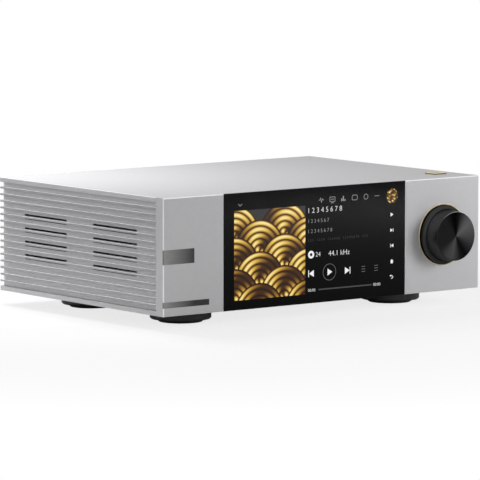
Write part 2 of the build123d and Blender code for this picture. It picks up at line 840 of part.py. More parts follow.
# Screening can on the audio board, open below
shield_y = board_rear - dac_board_depth + shield_inset_y + shield_depth / 2
with BuildPart() as dac_shield:
    with BuildSketch(Plane.XY.offset(board_top)):
        with Locations((dac_board_x, shield_y)):
            Rectangle(shield_width, shield_depth)
    extrude(amount=shield_height)
    with BuildSketch(Plane.XY.offset(board_top)):
        with Locations((dac_board_x, shield_y)):
            Rectangle(shield_width - 2 * shield_wall, shield_depth - 2 * shield_wall)
    extrude(amount=shield_height - shield_wall, mode=Mode.SUBTRACT)
write_piece(dac_shield, "dac_shield")

# Toroidal transformer with the dished washer and bolt that hold it down
with BuildPart() as transformer:
    with BuildSketch(Plane.XY.offset(inner_bottom)):
        with Locations((transformer_x, transformer_y)):
            Circle(transformer_radius)
    extrude(amount=transformer_height)
    chamfer(transformer.edges(), transformer_chamfer)
    with BuildSketch(Plane.XY.offset(inner_bottom)):
        with Locations((transformer_x, transformer_y)):
            Circle(transformer_bore)
    extrude(amount=transformer_height, mode=Mode.SUBTRACT)
write_piece(transformer, "transformer")

transformer_top = inner_bottom + transformer_height
with BuildPart() as transformer_bolt:
    with BuildSketch(Plane.XY.offset(body_bottom)):
        with Locations((transformer_x, transformer_y)):
            Circle(bolt_radius)
    extrude(amount=transformer_top - body_bottom)
    with BuildSketch(Plane.XY.offset(transformer_top)):
        with Locations((transformer_x, transformer_y)):
            Circle(bolt_washer_radius)
    extrude(amount=bolt_washer_thickness)
    with BuildSketch(Plane.XY.offset(transformer_top + bolt_washer_thickness)):
        with Locations((transformer_x, transformer_y)):
            RegularPolygon(bolt_head_radius, 6)
    extrude(amount=bolt_head_height)
write_piece(transformer_bolt, "transformer_bolt")

# Flat cable from the display board back and down to the main board
cable_x = glass_centre_x
cable_start_y = display_board_front + board_thickness
cable_start_z = display_middle
cable_end_y = board_rear - main_board_depth + cable_socket_inset
with BuildPart() as display_cable:
    with BuildSketch(sideways(cable_x - cable_width / 2)):
        with BuildLine():
            FilletPolyline(
                (cable_start_y, cable_start_z),
                (cable_end_y, cable_start_z),
                (cable_end_y, board_top),
                radius=cable_bend,
            )
        trace(line_width=cable_thickness)
    extrude(amount=cable_width)
write_piece(display_cable, "display_cable")

# Trim ring in the front plate's recess
with BuildPart() as knob_trim_ring:
    with BuildSketch(upright(ring_floor)):
        with Locations((knob_x, knob_z)):
            Circle(ring_outer_radius - running_gap)
            Circle(ring_inner_radius, mode=Mode.SUBTRACT)
    extrude(amount=knob_recess_depth + ring_projection)
    chamfer(knob_trim_ring.faces().sort_by(Axis.Y)[0].edges(), ring_chamfer)
write_piece(knob_trim_ring, "knob_trim_ring")

# Encoder housing: a square case with a threaded bushing through the front plate
chamber_front = encoder_front + encoder_front_wall
shaft_bore = shaft_radius + running_gap
encoder_chamber_radius = rotor_radius + rotor_side_gap
with BuildPart() as encoder_body:
    with BuildSketch(upright(encoder_front)):
        with Locations((knob_x, knob_z)):
            Rectangle(encoder_size, encoder_size)
    extrude(amount=-encoder_depth)
    with BuildSketch(upright(encoder_front)):
        with Locations((knob_x, knob_z)):
            Circle(bushing_radius)
    extrude(amount=encoder_wall + bushing_projection)
    with BuildSketch(upright(chamber_front)):
        with Locations((knob_x, knob_z)):
            Circle(encoder_chamber_radius)
    extrude(amount=-encoder_chamber_depth, mode=Mode.SUBTRACT)
    with BuildSketch(upright(chamber_front)):
        with Locations((knob_x, knob_z)):
            Circle(shaft_bore)
    extrude(amount=encoder_wall + bushing_projection + encoder_front_wall, mode=Mode.SUBTRACT)
write_piece(encoder_body, "encoder_body")

with BuildPart() as encoder_nut:
    with BuildSketch(upright(ring_floor)):
        with Locations((knob_x, knob_z)):
            RegularPolygon(nut_across_flats / 2, 6, major_radius=False)
            Circle(bushing_radius + running_gap, mode=Mode.SUBTRACT)
    extrude(amount=nut_thickness)
write_piece(encoder_nut, "encoder_nut")

with BuildPart() as encoder_board:
    with BuildSketch(upright(encoder_front + encoder_depth)):
        with Locations((knob_x, knob_z)):
            Rectangle(encoder_board_size, encoder_board_size)
    extrude(amount=-board_thickness)
write_piece(encoder_board, "encoder_board")

# Contact rotor inside the encoder, which the shaft turns and slides through
rotor_front = chamber_front + rotor_setback
with BuildPart() as encoder_rotor:
    with BuildSketch(upright(rotor_front)):
        with Locations((knob_x, knob_z)):
            Circle(rotor_radius)
            Circle(shaft_bore, mode=Mode.SUBTRACT)
    extrude(amount=-rotor_thickness)
write_piece(encoder_rotor, "encoder_rotor")

# Shaft, from just in front of the press switch to the floor of the knob's hollow
chamber_rear = chamber_front + encoder_chamber_depth
shaft_rear = chamber_rear - press_travel - press_reserve
knob_face_y = front_y - knob_projection
boss_rear = front_y - knob_boss_back
hollow_front = knob_face_y + knob_face_wall
shaft_front = hollow_front + loose_gap
with BuildPart() as encoder_shaft:
    with BuildSketch(upright(shaft_rear)):
        with Locations((knob_x, knob_z)):
            Circle(shaft_radius)
    extrude(amount=shaft_rear - shaft_front)
write_piece(encoder_shaft, "encoder_shaft")

# Knob: a turned cap whose flange runs in the ring, hollow behind, with a central boss
flange_rear = front_y + knob_flange_back
flange_front = front_y - knob_flange_front
root_front = front_y - knob_root_front
knob_root_radius = knob_flange_radius - knob_flange_width
knob_face_radius = knob_root_radius - knob_taper
knob_hollow_radius = knob_face_radius - knob_side_wall
sweep_share = 1 - cos(radians(45))
sweep_x = knob_x + knob_root_radius + sweep_share * (knob_flange_radius - knob_root_radius)
sweep_y = flange_front - sweep_share * (flange_front - root_front)
with BuildPart() as knob:
    with BuildSketch(Plane.XY.offset(knob_z)):
        with BuildLine():
            Line((knob_x, flange_rear), (knob_x + knob_flange_radius, flange_rear))
            Line(
                (knob_x + knob_flange_radius, flange_rear),
                (knob_x + knob_flange_radius, flange_front),
            )
            ThreePointArc(
                (knob_x + knob_flange_radius, flange_front),
                (sweep_x, sweep_y),
                (knob_x + knob_root_radius, root_front),
            )
            Line(
                (knob_x + knob_root_radius, root_front),
                (knob_x + knob_face_radius, knob_face_y),
            )
            Line((knob_x + knob_face_radius, knob_face_y), (knob_x, knob_face_y))
            Line((knob_x, knob_face_y), (knob_x, flange_rear))
        make_face()
    revolve(axis=Axis((knob_x, 0, knob_z), (0, 1, 0)))
    chamfer(knob.faces().sort_by(Axis.Y)[0].edges(), knob_face_chamfer)
    with BuildSketch(upright(flange_rear)):
        with Locations((knob_x, knob_z)):
            Circle(knob_hollow_radius)
    extrude(amount=flange_rear - hollow_front, mode=Mode.SUBTRACT)
    with BuildSketch(upright(boss_rear)):
        with Locations((knob_x, knob_z)):
            Circle(knob_boss_radius)
            Circle(shaft_radius + running_gap, mode=Mode.SUBTRACT)
    extrude(amount=boss_rear - hollow_front)
write_piece(knob, "knob")

# Mains inlet housing: rocker well, mains socket and fuse channel one above the other
flange_face = panel_y + inlet_flange_thickness
rocker_z = body_middle + rocker_rise_share * inlet_body_height
mains_z = body_middle - socket_drop
drawer_z = body_middle - drawer_drop_share * inlet_body_height
rocker_pivot_y = flange_face - rocker_setback
rocker_well_radius = rocker_radius + loose_gap
blade_places = ((0, blade_rise), (-blade_pitch, -blade_rise), (blade_pitch, -blade_rise))
mains_floor = flange_face - socket_depth
tray_length = fuse_length + 2 * fuse_gap
drawer_depth = drawer_front_wall + tray_length + drawer_rear_wall
with BuildPart() as power_inlet:
    with BuildSketch(upright(panel_y)):
        with Locations((inlet_x, body_middle)):
            RectangleRounded(inlet_flange_width, inlet_flange_height, inlet_flange_corner)
    extrude(amount=-inlet_flange_thickness)
    with BuildSketch(upright(panel_y)):
        with Locations((inlet_x, body_middle)):
            Rectangle(inlet_body_width, inlet_body_height)
    extrude(amount=inlet_body_depth)
    with BuildSketch(upright(mains_floor)) as socket_outline:
        with Locations((inlet_x, mains_z)):
            Rectangle(socket_width, socket_height)
        upper_corners = socket_outline.vertices().group_by(Axis.Y)[-1]
        chamfer(upper_corners, socket_corner)
        for blade_x, blade_z in blade_places:
            with Locations((inlet_x + blade_x, mains_z + blade_z)):
                Rectangle(blade_width, blade_height, mode=Mode.SUBTRACT)
    extrude(amount=-socket_depth, mode=Mode.SUBTRACT)
    with BuildSketch(upright(flange_face - socket_depth + blade_length)):
        for blade_x, blade_z in blade_places:
            with Locations((inlet_x + blade_x, mains_z + blade_z)):
                Rectangle(blade_width, blade_height)
    extrude(amount=blade_length - socket_depth, mode=Mode.SUBTRACT)
    with BuildSketch(sideways(inlet_x - rocker_width / 2 - loose_gap)):
        with Locations((rocker_pivot_y, rocker_z)):
            Circle(rocker_well_radius)
        with Locations((flange_face, rocker_z)):
            Rectangle(2 * rocker_setback, 2 * rocker_well_radius)
    extrude(amount=rocker_width + 2 * loose_gap, mode=Mode.SUBTRACT)
    pin_reach = rocker_width / 2 + loose_gap + rocker_pin_length
    with BuildSketch(sideways(inlet_x - pin_reach)):
        with Locations((rocker_pivot_y, rocker_z)):
            Circle(rocker_pin_radius + running_gap)
    extrude(amount=2 * pin_reach, mode=Mode.SUBTRACT)
    with BuildSketch(upright(flange_face)):
        with Locations((inlet_x, drawer_z)):
            Rectangle(drawer_width + 2 * drawer_gap, drawer_height + 2 * drawer_gap)
    extrude(amount=drawer_depth + drawer_gap, mode=Mode.SUBTRACT)
write_piece(power_inlet, "power_inlet")

# Rocker of the mains switch: a round-bodied key whose two faces meet in a shallow valley
rocker_side = rocker_radius * tan(radians(rocker_lean))
with BuildPart() as power_rocker:
    with BuildSketch(sideways(inlet_x - rocker_width / 2)):
        with Locations((rocker_pivot_y, rocker_z)):
            Circle(rocker_radius)
            Polygon(
                (rocker_face, 0),
                (rocker_face + rocker_side, -rocker_radius),
                (rocker_face + rocker_radius, -rocker_radius),
                (rocker_face + rocker_radius, rocker_radius),
                (rocker_face + rocker_side, rocker_radius),
                rotation=rocker_lean,
                align=None,
                mode=Mode.SUBTRACT,
            )
    extrude(amount=rocker_width)
    with BuildSketch(sideways(inlet_x - pin_reach + seat_gap)):
        with Locations((rocker_pivot_y, rocker_z)):
            Circle(rocker_pin_radius)
    extrude(amount=2 * (pin_reach - seat_gap))
write_piece(power_rocker, "power_rocker")

# Fuse drawer: a tray with the cartridge fuse lying along it
drawer_bottom = drawer_z - drawer_height / 2
fuse_middle_y = flange_face - drawer_front_wall - tray_length / 2
fuse_z = drawer_bottom + drawer_floor + fuse_radius + seat_gap
with BuildPart() as fuse_drawer:
    with BuildSketch(upright(flange_face)):
        with Locations((inlet_x, drawer_z)):
            Rectangle(drawer_width, drawer_height)
    extrude(amount=drawer_depth)
    with BuildSketch(Plane.XY.offset(drawer_bottom + drawer_floor)):
        with Locations((inlet_x, fuse_middle_y)):
            Rectangle(2 * (fuse_radius + fuse_gap), tray_length)
    extrude(amount=drawer_height, mode=Mode.SUBTRACT)
    with BuildSketch(upright(flange_face)):
        with Locations((inlet_x, drawer_z)):
            Rectangle(drawer_notch_width, drawer_notch_height)
    extrude(amount=drawer_notch_depth, mode=Mode.SUBTRACT)
write_piece(fuse_drawer, "fuse_drawer")

with BuildPart() as fuse:
    with BuildSketch(upright(fuse_middle_y + fuse_length / 2)):
        with Locations((inlet_x, fuse_z)):
            Circle(fuse_radius)
    extrude(amount=fuse_length)
write_piece(fuse, "fuse")

# Balanced outputs: a flanged barrel with three pins, held by two screws at its corners
xlr_face = panel_y + xlr_flange_thickness
xlr_floor = xlr_face - xlr_bore_depth
xlr_screw_places = []
for xlr_name, place_x in xlr_places:
    with BuildPart() as xlr:
        with BuildSketch(upright(panel_y)):
            with Locations((place_x, xlr_z)):
                RectangleRounded(xlr_flange_width, xlr_flange_height, xlr_flange_corner)
                with Locations((xlr_screw_x, xlr_screw_z), (-xlr_screw_x, -xlr_screw_z)):
                    Circle(screw_hole_radius, mode=Mode.SUBTRACT)
        extrude(amount=-xlr_flange_thickness)
        with BuildSketch(upright(panel_y)):
            with Locations((place_x, xlr_z)):
                Circle(xlr_body_radius)
        extrude(amount=xlr_body_depth)
        with BuildSketch(upright(xlr_face)):
            with Locations((place_x, xlr_z)):
                Circle(xlr_bore_radius)
        extrude(amount=xlr_bore_depth, mode=Mode.SUBTRACT)
        with BuildSketch(upright(xlr_floor)):
            with Locations((place_x, xlr_z)):
                with PolarLocations(xlr_pin_circle, 3, start_angle=-90):
                    Circle(xlr_pin_radius)
        extrude(amount=-xlr_pin_length)
    write_piece(xlr, xlr_name)
    xlr_screw_places.append((place_x + xlr_screw_x, xlr_z + xlr_screw_z))
    xlr_screw_places.append((place_x - xlr_screw_x, xlr_z - xlr_screw_z))

# Coaxial sockets: a block on the board, a collar through the panel and a barrel
rca_block_top = rca_z + rca_block_width / 2
for rca_name, place_x in rca_places:
    with BuildPart() as rca:
        with BuildSketch(upright(inner_rear)):
            with Locations((place_x, board_top)):
                Rectangle(
                    rca_block_width, rca_block_top - board_top, align=(Align.CENTER, Align.MIN)
                )
        extrude(amount=rca_block_depth)
        with BuildSketch(upright(inner_rear)):
            with Locations((place_x, rca_z)):
                Circle(rca_collar_radius)
        extrude(amount=-rear_thickness - rca_collar_projection)
        with BuildSketch(upright(panel_y)):
            with Locations((place_x, rca_z)):
                Circle(rca_barrel_radius)
        extrude(amount=-rca_projection)
        with BuildSketch(upright(panel_y + rca_projection)):
            with Locations((place_x, rca_z)):
                Circle(rca_bore_radius)
        extrude(amount=rca_bore_depth, mode=Mode.SUBTRACT)
    write_piece(rca, rca_name)

# Optical sockets: a block with a square mouth, and a shutter hinged under its upper lip
optical_face = panel_y + optical_projection
cavity_bottom = board_top + (optical_height - optical_cavity_height) / 2
cavity_top = cavity_bottom + optical_cavity_height
hinge_y = optical_face - shutter_setback
hinge_z = cavity_top - shutter_hinge_drop
hinge_reach = optical_cavity_width / 2 + shutter_pin_length
for optical_name, place_x in optical_places:
    with BuildPart() as optical_housing:
        with BuildSketch(upright(optical_face)):
            with Locations((place_x, board_top)):
                Rectangle(optical_width, optical_height, align=(Align.CENTER, Align.MIN))
        extrude(amount=optical_depth)
        with BuildSketch(upright(optical_face)):
            with Locations((place_x, cavity_bottom)):
                Rectangle(
                    optical_cavity_width,
                    optical_cavity_height,
                    align=(Align.CENTER, Align.MIN),
                )
        extrude(amount=optical_cavity_depth, mode=Mode.SUBTRACT)
        with BuildSketch(sideways(place_x - hinge_reach)):
            with Locations((hinge_y, hinge_z)):
                Circle(shutter_pin_radius + running_gap)
        extrude(amount=2 * hinge_reach, mode=Mode.SUBTRACT)
    write_piece(optical_housing, optical_name + "_housing")
    with BuildPart() as optical_shutter:
        with BuildSketch(upright(hinge_y + shutter_thickness / 2)):
            with Locations((place_x, cavity_bottom + shutter_gap)):
                Rectangle(
                    optical_cavity_width - 2 * shutter_gap,
                    optical_cavity_height - 2 * shutter_gap,
                    align=(Align.CENTER, Align.MIN),
                )
        extrude(amount=shutter_thickness)
        with BuildSketch(sideways(place_x - hinge_reach + seat_gap)):
            with Locations((hinge_y, hinge_z)):
                Circle(shutter_pin_radius)
        extrude(amount=2 * (hinge_reach - seat_gap))
    write_piece(optical_shutter, optical_name + "_shutter")

# Data sockets: blocks on the main board whose faces stand just out of the panel
socket_face = panel_y + socket_projection
usb_plans = (
    ("usb_ports", usb_x, usb_stack_height, usb_stack_count),
    ("usb_audio_port", usb_audio_x, usb_single_height, usb_single_count),
)
for usb_name, place_x, block_height, mouth_count in usb_plans:
    mouth_pitch = block_height / mouth_count
    with BuildPart() as usb:
        with BuildSketch(upright(socket_face)):
            with Locations((place_x, board_top)):
                Rectangle(usb_block_width, block_height, align=(Align.CENTER, Align.MIN))
        extrude(amount=usb_block_depth)
        with BuildSketch(upright(socket_face)):
            with Locations((place_x, board_top + block_height / 2)):
                with GridLocations(0, mouth_pitch, 1, mouth_count):
                    Rectangle(usb_mouth_width, usb_mouth_height)
        extrude(amount=usb_mouth_depth, mode=Mode.SUBTRACT)
        with BuildSketch(upright(socket_face - usb_mouth_depth)):
            with Locations((place_x, board_top + block_height / 2 + usb_tongue_rise)):
                with GridLocations(0, mouth_pitch, 1, mouth_count):
                    Rectangle(usb_tongue_width, usb_tongue_height)
        extrude(amount=usb_tongue_setback - usb_mouth_depth)
    write_piece(usb, usb_name)

with BuildPart() as lan_jack:
    with BuildSketch(upright(socket_face)):
        with Locations((lan_x, board_top)):
            Rectangle(lan_width, lan_height, align=(Align.CENTER, Align.MIN))
    extrude(amount=lan_depth)
    with BuildSketch(upright(socket_face)):
        with Locations((lan_x, board_top + lan_mouth_rise)):
            Rectangle(lan_mouth_width, lan_mouth_height, align=(Align.CENTER, Align.MIN))
            Rectangle(lan_latch_width, 2 * lan_latch_height)
    extrude(amount=lan_mouth_depth, mode=Mode.SUBTRACT)
write_piece(lan_jack, "lan_jack")

hdmi_middle = board_top + hdmi_height / 2
with BuildPart() as hdmi_port:
    with BuildSketch(upright(socket_face)):
        with Locations((hdmi_x, hdmi_middle)):
            Rectangle(hdmi_width, hdmi_height)
    extrude(amount=hdmi_depth)
    with BuildSketch(upright(socket_face)):
        with Locations((hdmi_x, hdmi_middle)):
            Polygon(
                (-hdmi_mouth_width / 2, hdmi_mouth_height / 2),
                (-hdmi_mouth_width / 2, 0),
                (-hdmi_mouth_foot_width / 2, -hdmi_mouth_height / 2),
                (hdmi_mouth_foot_width / 2, -hdmi_mouth_height / 2),
                (hdmi_mouth_width / 2, 0),
                (hdmi_mouth_width / 2, hdmi_mouth_height / 2),
                align=None,
            )
    extrude(amount=hdmi_mouth_depth, mode=Mode.SUBTRACT)
    with BuildSketch(upright(socket_face - hdmi_mouth_depth)):
        with Locations((hdmi_x, hdmi_middle)):
            Rectangle(hdmi_tongue_width, hdmi_tongue_height)
    extrude(amount=hdmi_tongue_setback - hdmi_mouth_depth)
write_piece(hdmi_port, "hdmi_port")

# Antenna sockets: a body behind the panel, a barrel through it and a hexagon outside
for antenna_name, place_x in antenna_places:
    with BuildPart() as antenna:
        with BuildSketch(upright(inner_rear)):
            with Locations((place_x, antenna_z)):
                Circle(antenna_body_radius)
        extrude(amount=antenna_body_depth)
        with BuildSketch(upright(inner_rear)):
            with Locations((place_x, antenna_z)):
                Circle(antenna_barrel_radius)
        extrude(amount=-rear_thickness - antenna_projection)
        with BuildSketch(upright(panel_y)):
            with Locations((place_x, antenna_z)):
                RegularPolygon(antenna_nut_across_flats / 2, 6, major_radius=False)
        extrude(amount=-antenna_nut_thickness)
        with BuildSketch(upright(panel_y + antenna_projection)):
            with Locations((place_x, antenna_z)):
                Circle(antenna_bore_radius)
        extrude(amount=antenna_bore_depth, mode=Mode.SUBTRACT)
        with BuildSketch(upright(panel_y + antenna_projection - antenna_bore_depth)):
            with Locations((place_x, antenna_z)):
                Circle(antenna_pin_radius)
        extrude(amount=-antenna_pin_length)
    write_piece(antenna, antenna_name)

# Screws: up through the bottom plate, in through the rear panel, and at the outputs
xlr_screw_length = xlr_flange_thickness + rear_thickness
with BuildPart() as case_screws:
    with BuildSketch(Plane.XY.offset(body_bottom)):
        with Locations(*post_places):
            Circle(screw_head_radius)
    extrude(amount=screw_head_height)
    with BuildSketch(Plane.XY.offset(body_bottom)):
        with Locations(*post_places):
            Circle(screw_radius)
    extrude(amount=screw_length)
    with BuildSketch(upright(panel_y)):
        with Locations(*rear_screw_places):
            Circle(screw_head_radius)
    extrude(amount=-screw_head_height)
    with BuildSketch(upright(panel_y)):
        with Locations(*rear_screw_places):
            Circle(screw_radius)
    extrude(amount=screw_length)
    with BuildSketch(upright(xlr_face)):
        with Locations(*xlr_screw_places):
            Circle(screw_head_radius)
    extrude(amount=-screw_head_height)
    with BuildSketch(upright(xlr_face)):
        with Locations(*xlr_screw_places):
            Circle(screw_radius)
    extrude(amount=xlr_screw_length)
write_piece(case_screws, "case_screws")

with BuildPart() as hatch_screw:
    with BuildSketch(Plane.XY.offset(body_bottom)):
        with Locations((hatch_x, hatch_screw_y)):
            Circle(hatch_head_radius)
    extrude(amount=hatch_head_height)
    with BuildSketch(Plane.XY.offset(body_bottom)):
        with Locations((hatch_x, hatch_screw_y)):
            Circle(hatch_screw_radius)
    extrude(amount=base_thickness)
write_piece(hatch_screw, "hatch_screw")
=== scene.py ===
"""Looks of a compact network music streamer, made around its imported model.

Metres, in the model's own frame: +X is to the right seen from the front, the front faces
-Y, +Z is up, and the origin is on the surface that the feet stand on. Places are read from
the model's nodes, and every new piece has its place in its mesh.
"""

import math

import bpy
import numpy as np
from mathutils import Matrix, Vector


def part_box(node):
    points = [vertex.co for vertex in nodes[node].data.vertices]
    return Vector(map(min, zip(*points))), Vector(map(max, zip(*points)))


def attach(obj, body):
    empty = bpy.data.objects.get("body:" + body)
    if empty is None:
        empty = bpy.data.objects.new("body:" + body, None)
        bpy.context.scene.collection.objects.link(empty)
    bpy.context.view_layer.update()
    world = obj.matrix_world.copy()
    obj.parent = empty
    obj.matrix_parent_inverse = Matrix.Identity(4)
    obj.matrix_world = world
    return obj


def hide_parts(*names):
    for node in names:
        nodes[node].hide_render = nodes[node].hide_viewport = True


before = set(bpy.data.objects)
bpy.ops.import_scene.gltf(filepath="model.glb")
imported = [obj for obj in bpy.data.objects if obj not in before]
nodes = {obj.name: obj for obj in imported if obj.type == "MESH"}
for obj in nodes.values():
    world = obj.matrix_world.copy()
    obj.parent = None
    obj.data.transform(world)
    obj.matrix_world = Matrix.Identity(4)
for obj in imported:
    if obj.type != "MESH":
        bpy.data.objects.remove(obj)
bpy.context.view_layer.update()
mm = 0.001
black_plastic = (0.02, 0.02, 0.021)
socket_gold = (0.7, 0.52, 0.22)

# How tall a side fin's face is, and how far a mark stands off its face and reaches into it
fin_height = 1.45 * mm
mark_height, mark_sink = 0.04 * mm, 0.02 * mm


# Places read from the model

def middle(node):
    """The middle of a node's box, in metres."""
    low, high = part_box(node)
    return np.array((low + high) / 2)


def mesh_points(mesh):
    """A mesh's points, one in each row."""
    places = np.empty(3 * len(mesh.vertices))
    mesh.vertices.foreach_get("co", places)
    return places.reshape(-1, 3)


glass_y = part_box("front_glass")[0].y
plate_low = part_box("front_panel")[0]
knob_low, knob_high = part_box("knob")
panel_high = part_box("rear_panel")[1]
front_y = plate_low.y
knob_x, _, knob_z = middle("knob")


# Node helpers for the finishes

def plug(tree, socket, value):
    """Gives an input another node's output, a plain value or a colour of three parts."""
    if isinstance(value, bpy.types.NodeSocket):
        tree.links.new(value, socket)
    else:
        socket.default_value = (*value, 1) if socket.type == "RGBA" else value


def feed(tree, node, **values):
    """Gives a node's inputs their values by name, with _ for each space."""
    for name, value in values.items():
        plug(tree, node.inputs[name.replace("_", " ")], value)


def new_node(tree, kind, inputs=(), **settings):
    """A node of that kind with its settings, and its inputs by number or name."""
    made = tree.nodes.new(kind)
    for name, value in settings.items():
        setattr(made, name, value)
    for key, value in dict(inputs).items():
        plug(tree, made.inputs[key], value)
    return made


def work_out(tree, operation, *values):
    """The output of one Math node on sockets or plain numbers."""
    return new_node(tree, "ShaderNodeMath", enumerate(values), operation=operation).outputs[0]


def vector_math(tree, operation, *vectors):
    """The output of one Vector Math node on sockets or plain vectors."""
    made = new_node(tree, "ShaderNodeVectorMath", enumerate(vectors), operation=operation)
    return made.outputs[0]


def object_place(tree, stretch=(1, 1, 1), shift=(0, 0, 0)):
    """Object coordinates, shifted and then stretched."""
    source = new_node(tree, "ShaderNodeTexCoord").outputs["Object"]
    return vector_math(tree, "MULTIPLY", vector_math(tree, "SUBTRACT", source, shift), stretch)


def split(tree, vector):
    """The three numbers of a vector."""
    return new_node(tree, "ShaderNodeSeparateXYZ", {0: vector}).outputs


def facing(tree):
    """The three numbers of the direction that a face looks in."""
    return split(tree, new_node(tree, "ShaderNodeNewGeometry").outputs["True Normal"])


def noise(tree, place, grain, detail=2.0):
    """Noise between 0 and 1 whose grains are that long at a stretch of 1."""
    inputs = {"Scale": 1 / grain, "Detail": detail, "Vector": place}
    return new_node(tree, "ShaderNodeTexNoise", inputs).outputs["Fac"]


def to_range(tree, value, from_low, from_high, to_low, to_high):
    """The value carried from one range to another and held at its ends."""
    inputs = {"Value": value, "From Min": from_low, "From Max": from_high,
              "To Min": to_low, "To Max": to_high}
    return new_node(tree, "ShaderNodeMapRange", inputs).outputs["Result"]


# A Mix node takes two colours in its inputs 6 and 7, and two numbers in 2 and 3.

def two_colours(tree, share, first, second):
    """The first colour where the share is 0 and the second where it is 1."""
    inputs = {0: share, 6: first, 7: second}
    return new_node(tree, "ShaderNodeMix", inputs, data_type="RGBA").outputs[2]


def blend(tree, share, first, second):
    """The first number where the share is 0 and the second where it is 1."""
    inputs = {0: share, 2: first, 3: second}
    return new_node(tree, "ShaderNodeMix", inputs, data_type="FLOAT").outputs[0]


def colour_ramp(tree, share, stops):
    """The colour at a share of the way through stops, each a place from 0 to 1 and a colour."""
    made = new_node(tree, "ShaderNodeValToRGB", {"Fac": share})
    while len(made.color_ramp.elements) < len(stops):
        made.color_ramp.elements.new(0.5)
    for element, (place, colour) in zip(made.color_ramp.elements, stops):
        element.position = place
        element.color = (*colour, 1)
    return made.outputs["Color"]


def tones(colour, share):
    """A colour made darker and lighter by a share."""
    return [tuple(min(1.0, part * scale) for part in colour) for scale in (1 - share, 1 + share)]


def plain_finish(name, colour, metallic=0.0, roughness=0.5, **sockets):
    """A material with its constant values on the shader's own sockets."""
    material = bpy.data.materials.new(name)
    material.use_nodes = True
    tree = material.node_tree
    shader = tree.nodes["Principled BSDF"]
    feed(tree, shader, Base_Color=colour, Metallic=metallic, Roughness=roughness, **sockets)
    return material, shader, tree


def add_bump(tree, shader, height, depth):
    """Raises the surface by a height between 0 and 1 times the depth."""
    inputs = {"Strength": 1.0, "Distance": depth, "Height": height}
    feed(tree, shader, Normal=new_node(tree, "ShaderNodeBump", inputs).outputs["Normal"])


def grained(name, colour, grain, depth, roughness, tint_share=0.08, rough_share=0.1,
            stretch=(1, 1, 1), **values):
    """A finish with fine noise in its height and its roughness, and broad noise in its colour."""
    broad_grain = 14 * grain
    material, shader, tree = plain_finish(name, colour, roughness=roughness, **values)
    fine = noise(tree, object_place(tree, stretch), grain)
    broad = noise(tree, object_place(tree, stretch), broad_grain, 4.0)
    tone = two_colours(tree, to_range(tree, broad, 0.3, 0.7, 0.0, 1.0), *tones(colour, tint_share))
    smoother, rougher = roughness * (1 - rough_share), roughness * (1 + rough_share)
    feed(tree, shader, Base_Color=tone,
         Roughness=to_range(tree, fine, 0.25, 0.75, smoother, rougher))
    add_bump(tree, shader, fine, depth)
    return material


def set_finish(material, *names):
    """Gives CAD nodes a finish in place of their plain one."""
    for name in names:
        if not nodes[name].material_slots:
            nodes[name].data.materials.append(material)
        for slot in nodes[name].material_slots:
            slot.material = material


# Finishes of the case

blasted_metallic = 0.35


def blasted(name):
    """Bead-blasted, clear anodised aluminium: fine round grain and a soft sheen.

    Returns the material with its shader, its tree and the tone that its colour takes.
    """
    material = grained(name, (0.50, 0.50, 0.51), 0.22 * mm, 0.004 * mm, 0.55, tint_share=0.015,
                       rough_share=0.06, metallic=blasted_metallic, Specular_IOR_Level=0.3)
    tree = material.node_tree
    shader = tree.nodes["Principled BSDF"]
    return material, shader, tree, shader.inputs["Base Color"].links[0].from_socket


def scale_tone(tree, shader, tone, share):
    """The shader's colour becomes the tone times a share."""
    scaled = new_node(tree, "ShaderNodeVectorMath", {0: tone, "Scale": share}, operation="SCALE")
    feed(tree, shader, Base_Color=scaled.outputs[0])


def aluminium_finish():
    """The case's finish. Its diamond-cut bevels are more metallic and carry a painted highlight.

    A bevel is a face that looks along none of the three directions.
    """
    bevel_highlight_share, bevel_metallic = 1.8, 0.85
    material, shader, tree, tone = blasted("bead_blasted_aluminium")
    sizes = [work_out(tree, "ABSOLUTE", part) for part in facing(tree)]
    largest = work_out(tree, "MAXIMUM", work_out(tree, "MAXIMUM", sizes[0], sizes[1]), sizes[2])
    bevel = work_out(tree, "LESS_THAN", largest, 0.95)
    # Painted highlight: the bevels' colour is made lighter. Their higher metallic value is the
    # cut's own gloss.
    scale_tone(tree, shader, tone, blend(tree, bevel, 1.0, bevel_highlight_share))
    feed(tree, shader, Metallic=blend(tree, bevel, blasted_metallic, bevel_metallic))
    return material


def fin_rows():
    """The height of the lowest fin's top edge and the distance from fin to fin.

    The heights of the points on the fins' faces come in pairs, a lower and an upper edge.
    """
    places = mesh_points(nodes["right_side_panel"].data)
    on_faces = places[places[:, 0] > places[:, 0].max() - 0.01 * mm]
    heights = np.unique((on_faces[:, 2] / mm).round(2)) * mm
    edges = heights[1:][np.abs(np.diff(heights) - fin_height) < 0.1 * mm]
    return float(edges[0]), float(np.median(np.diff(edges)))


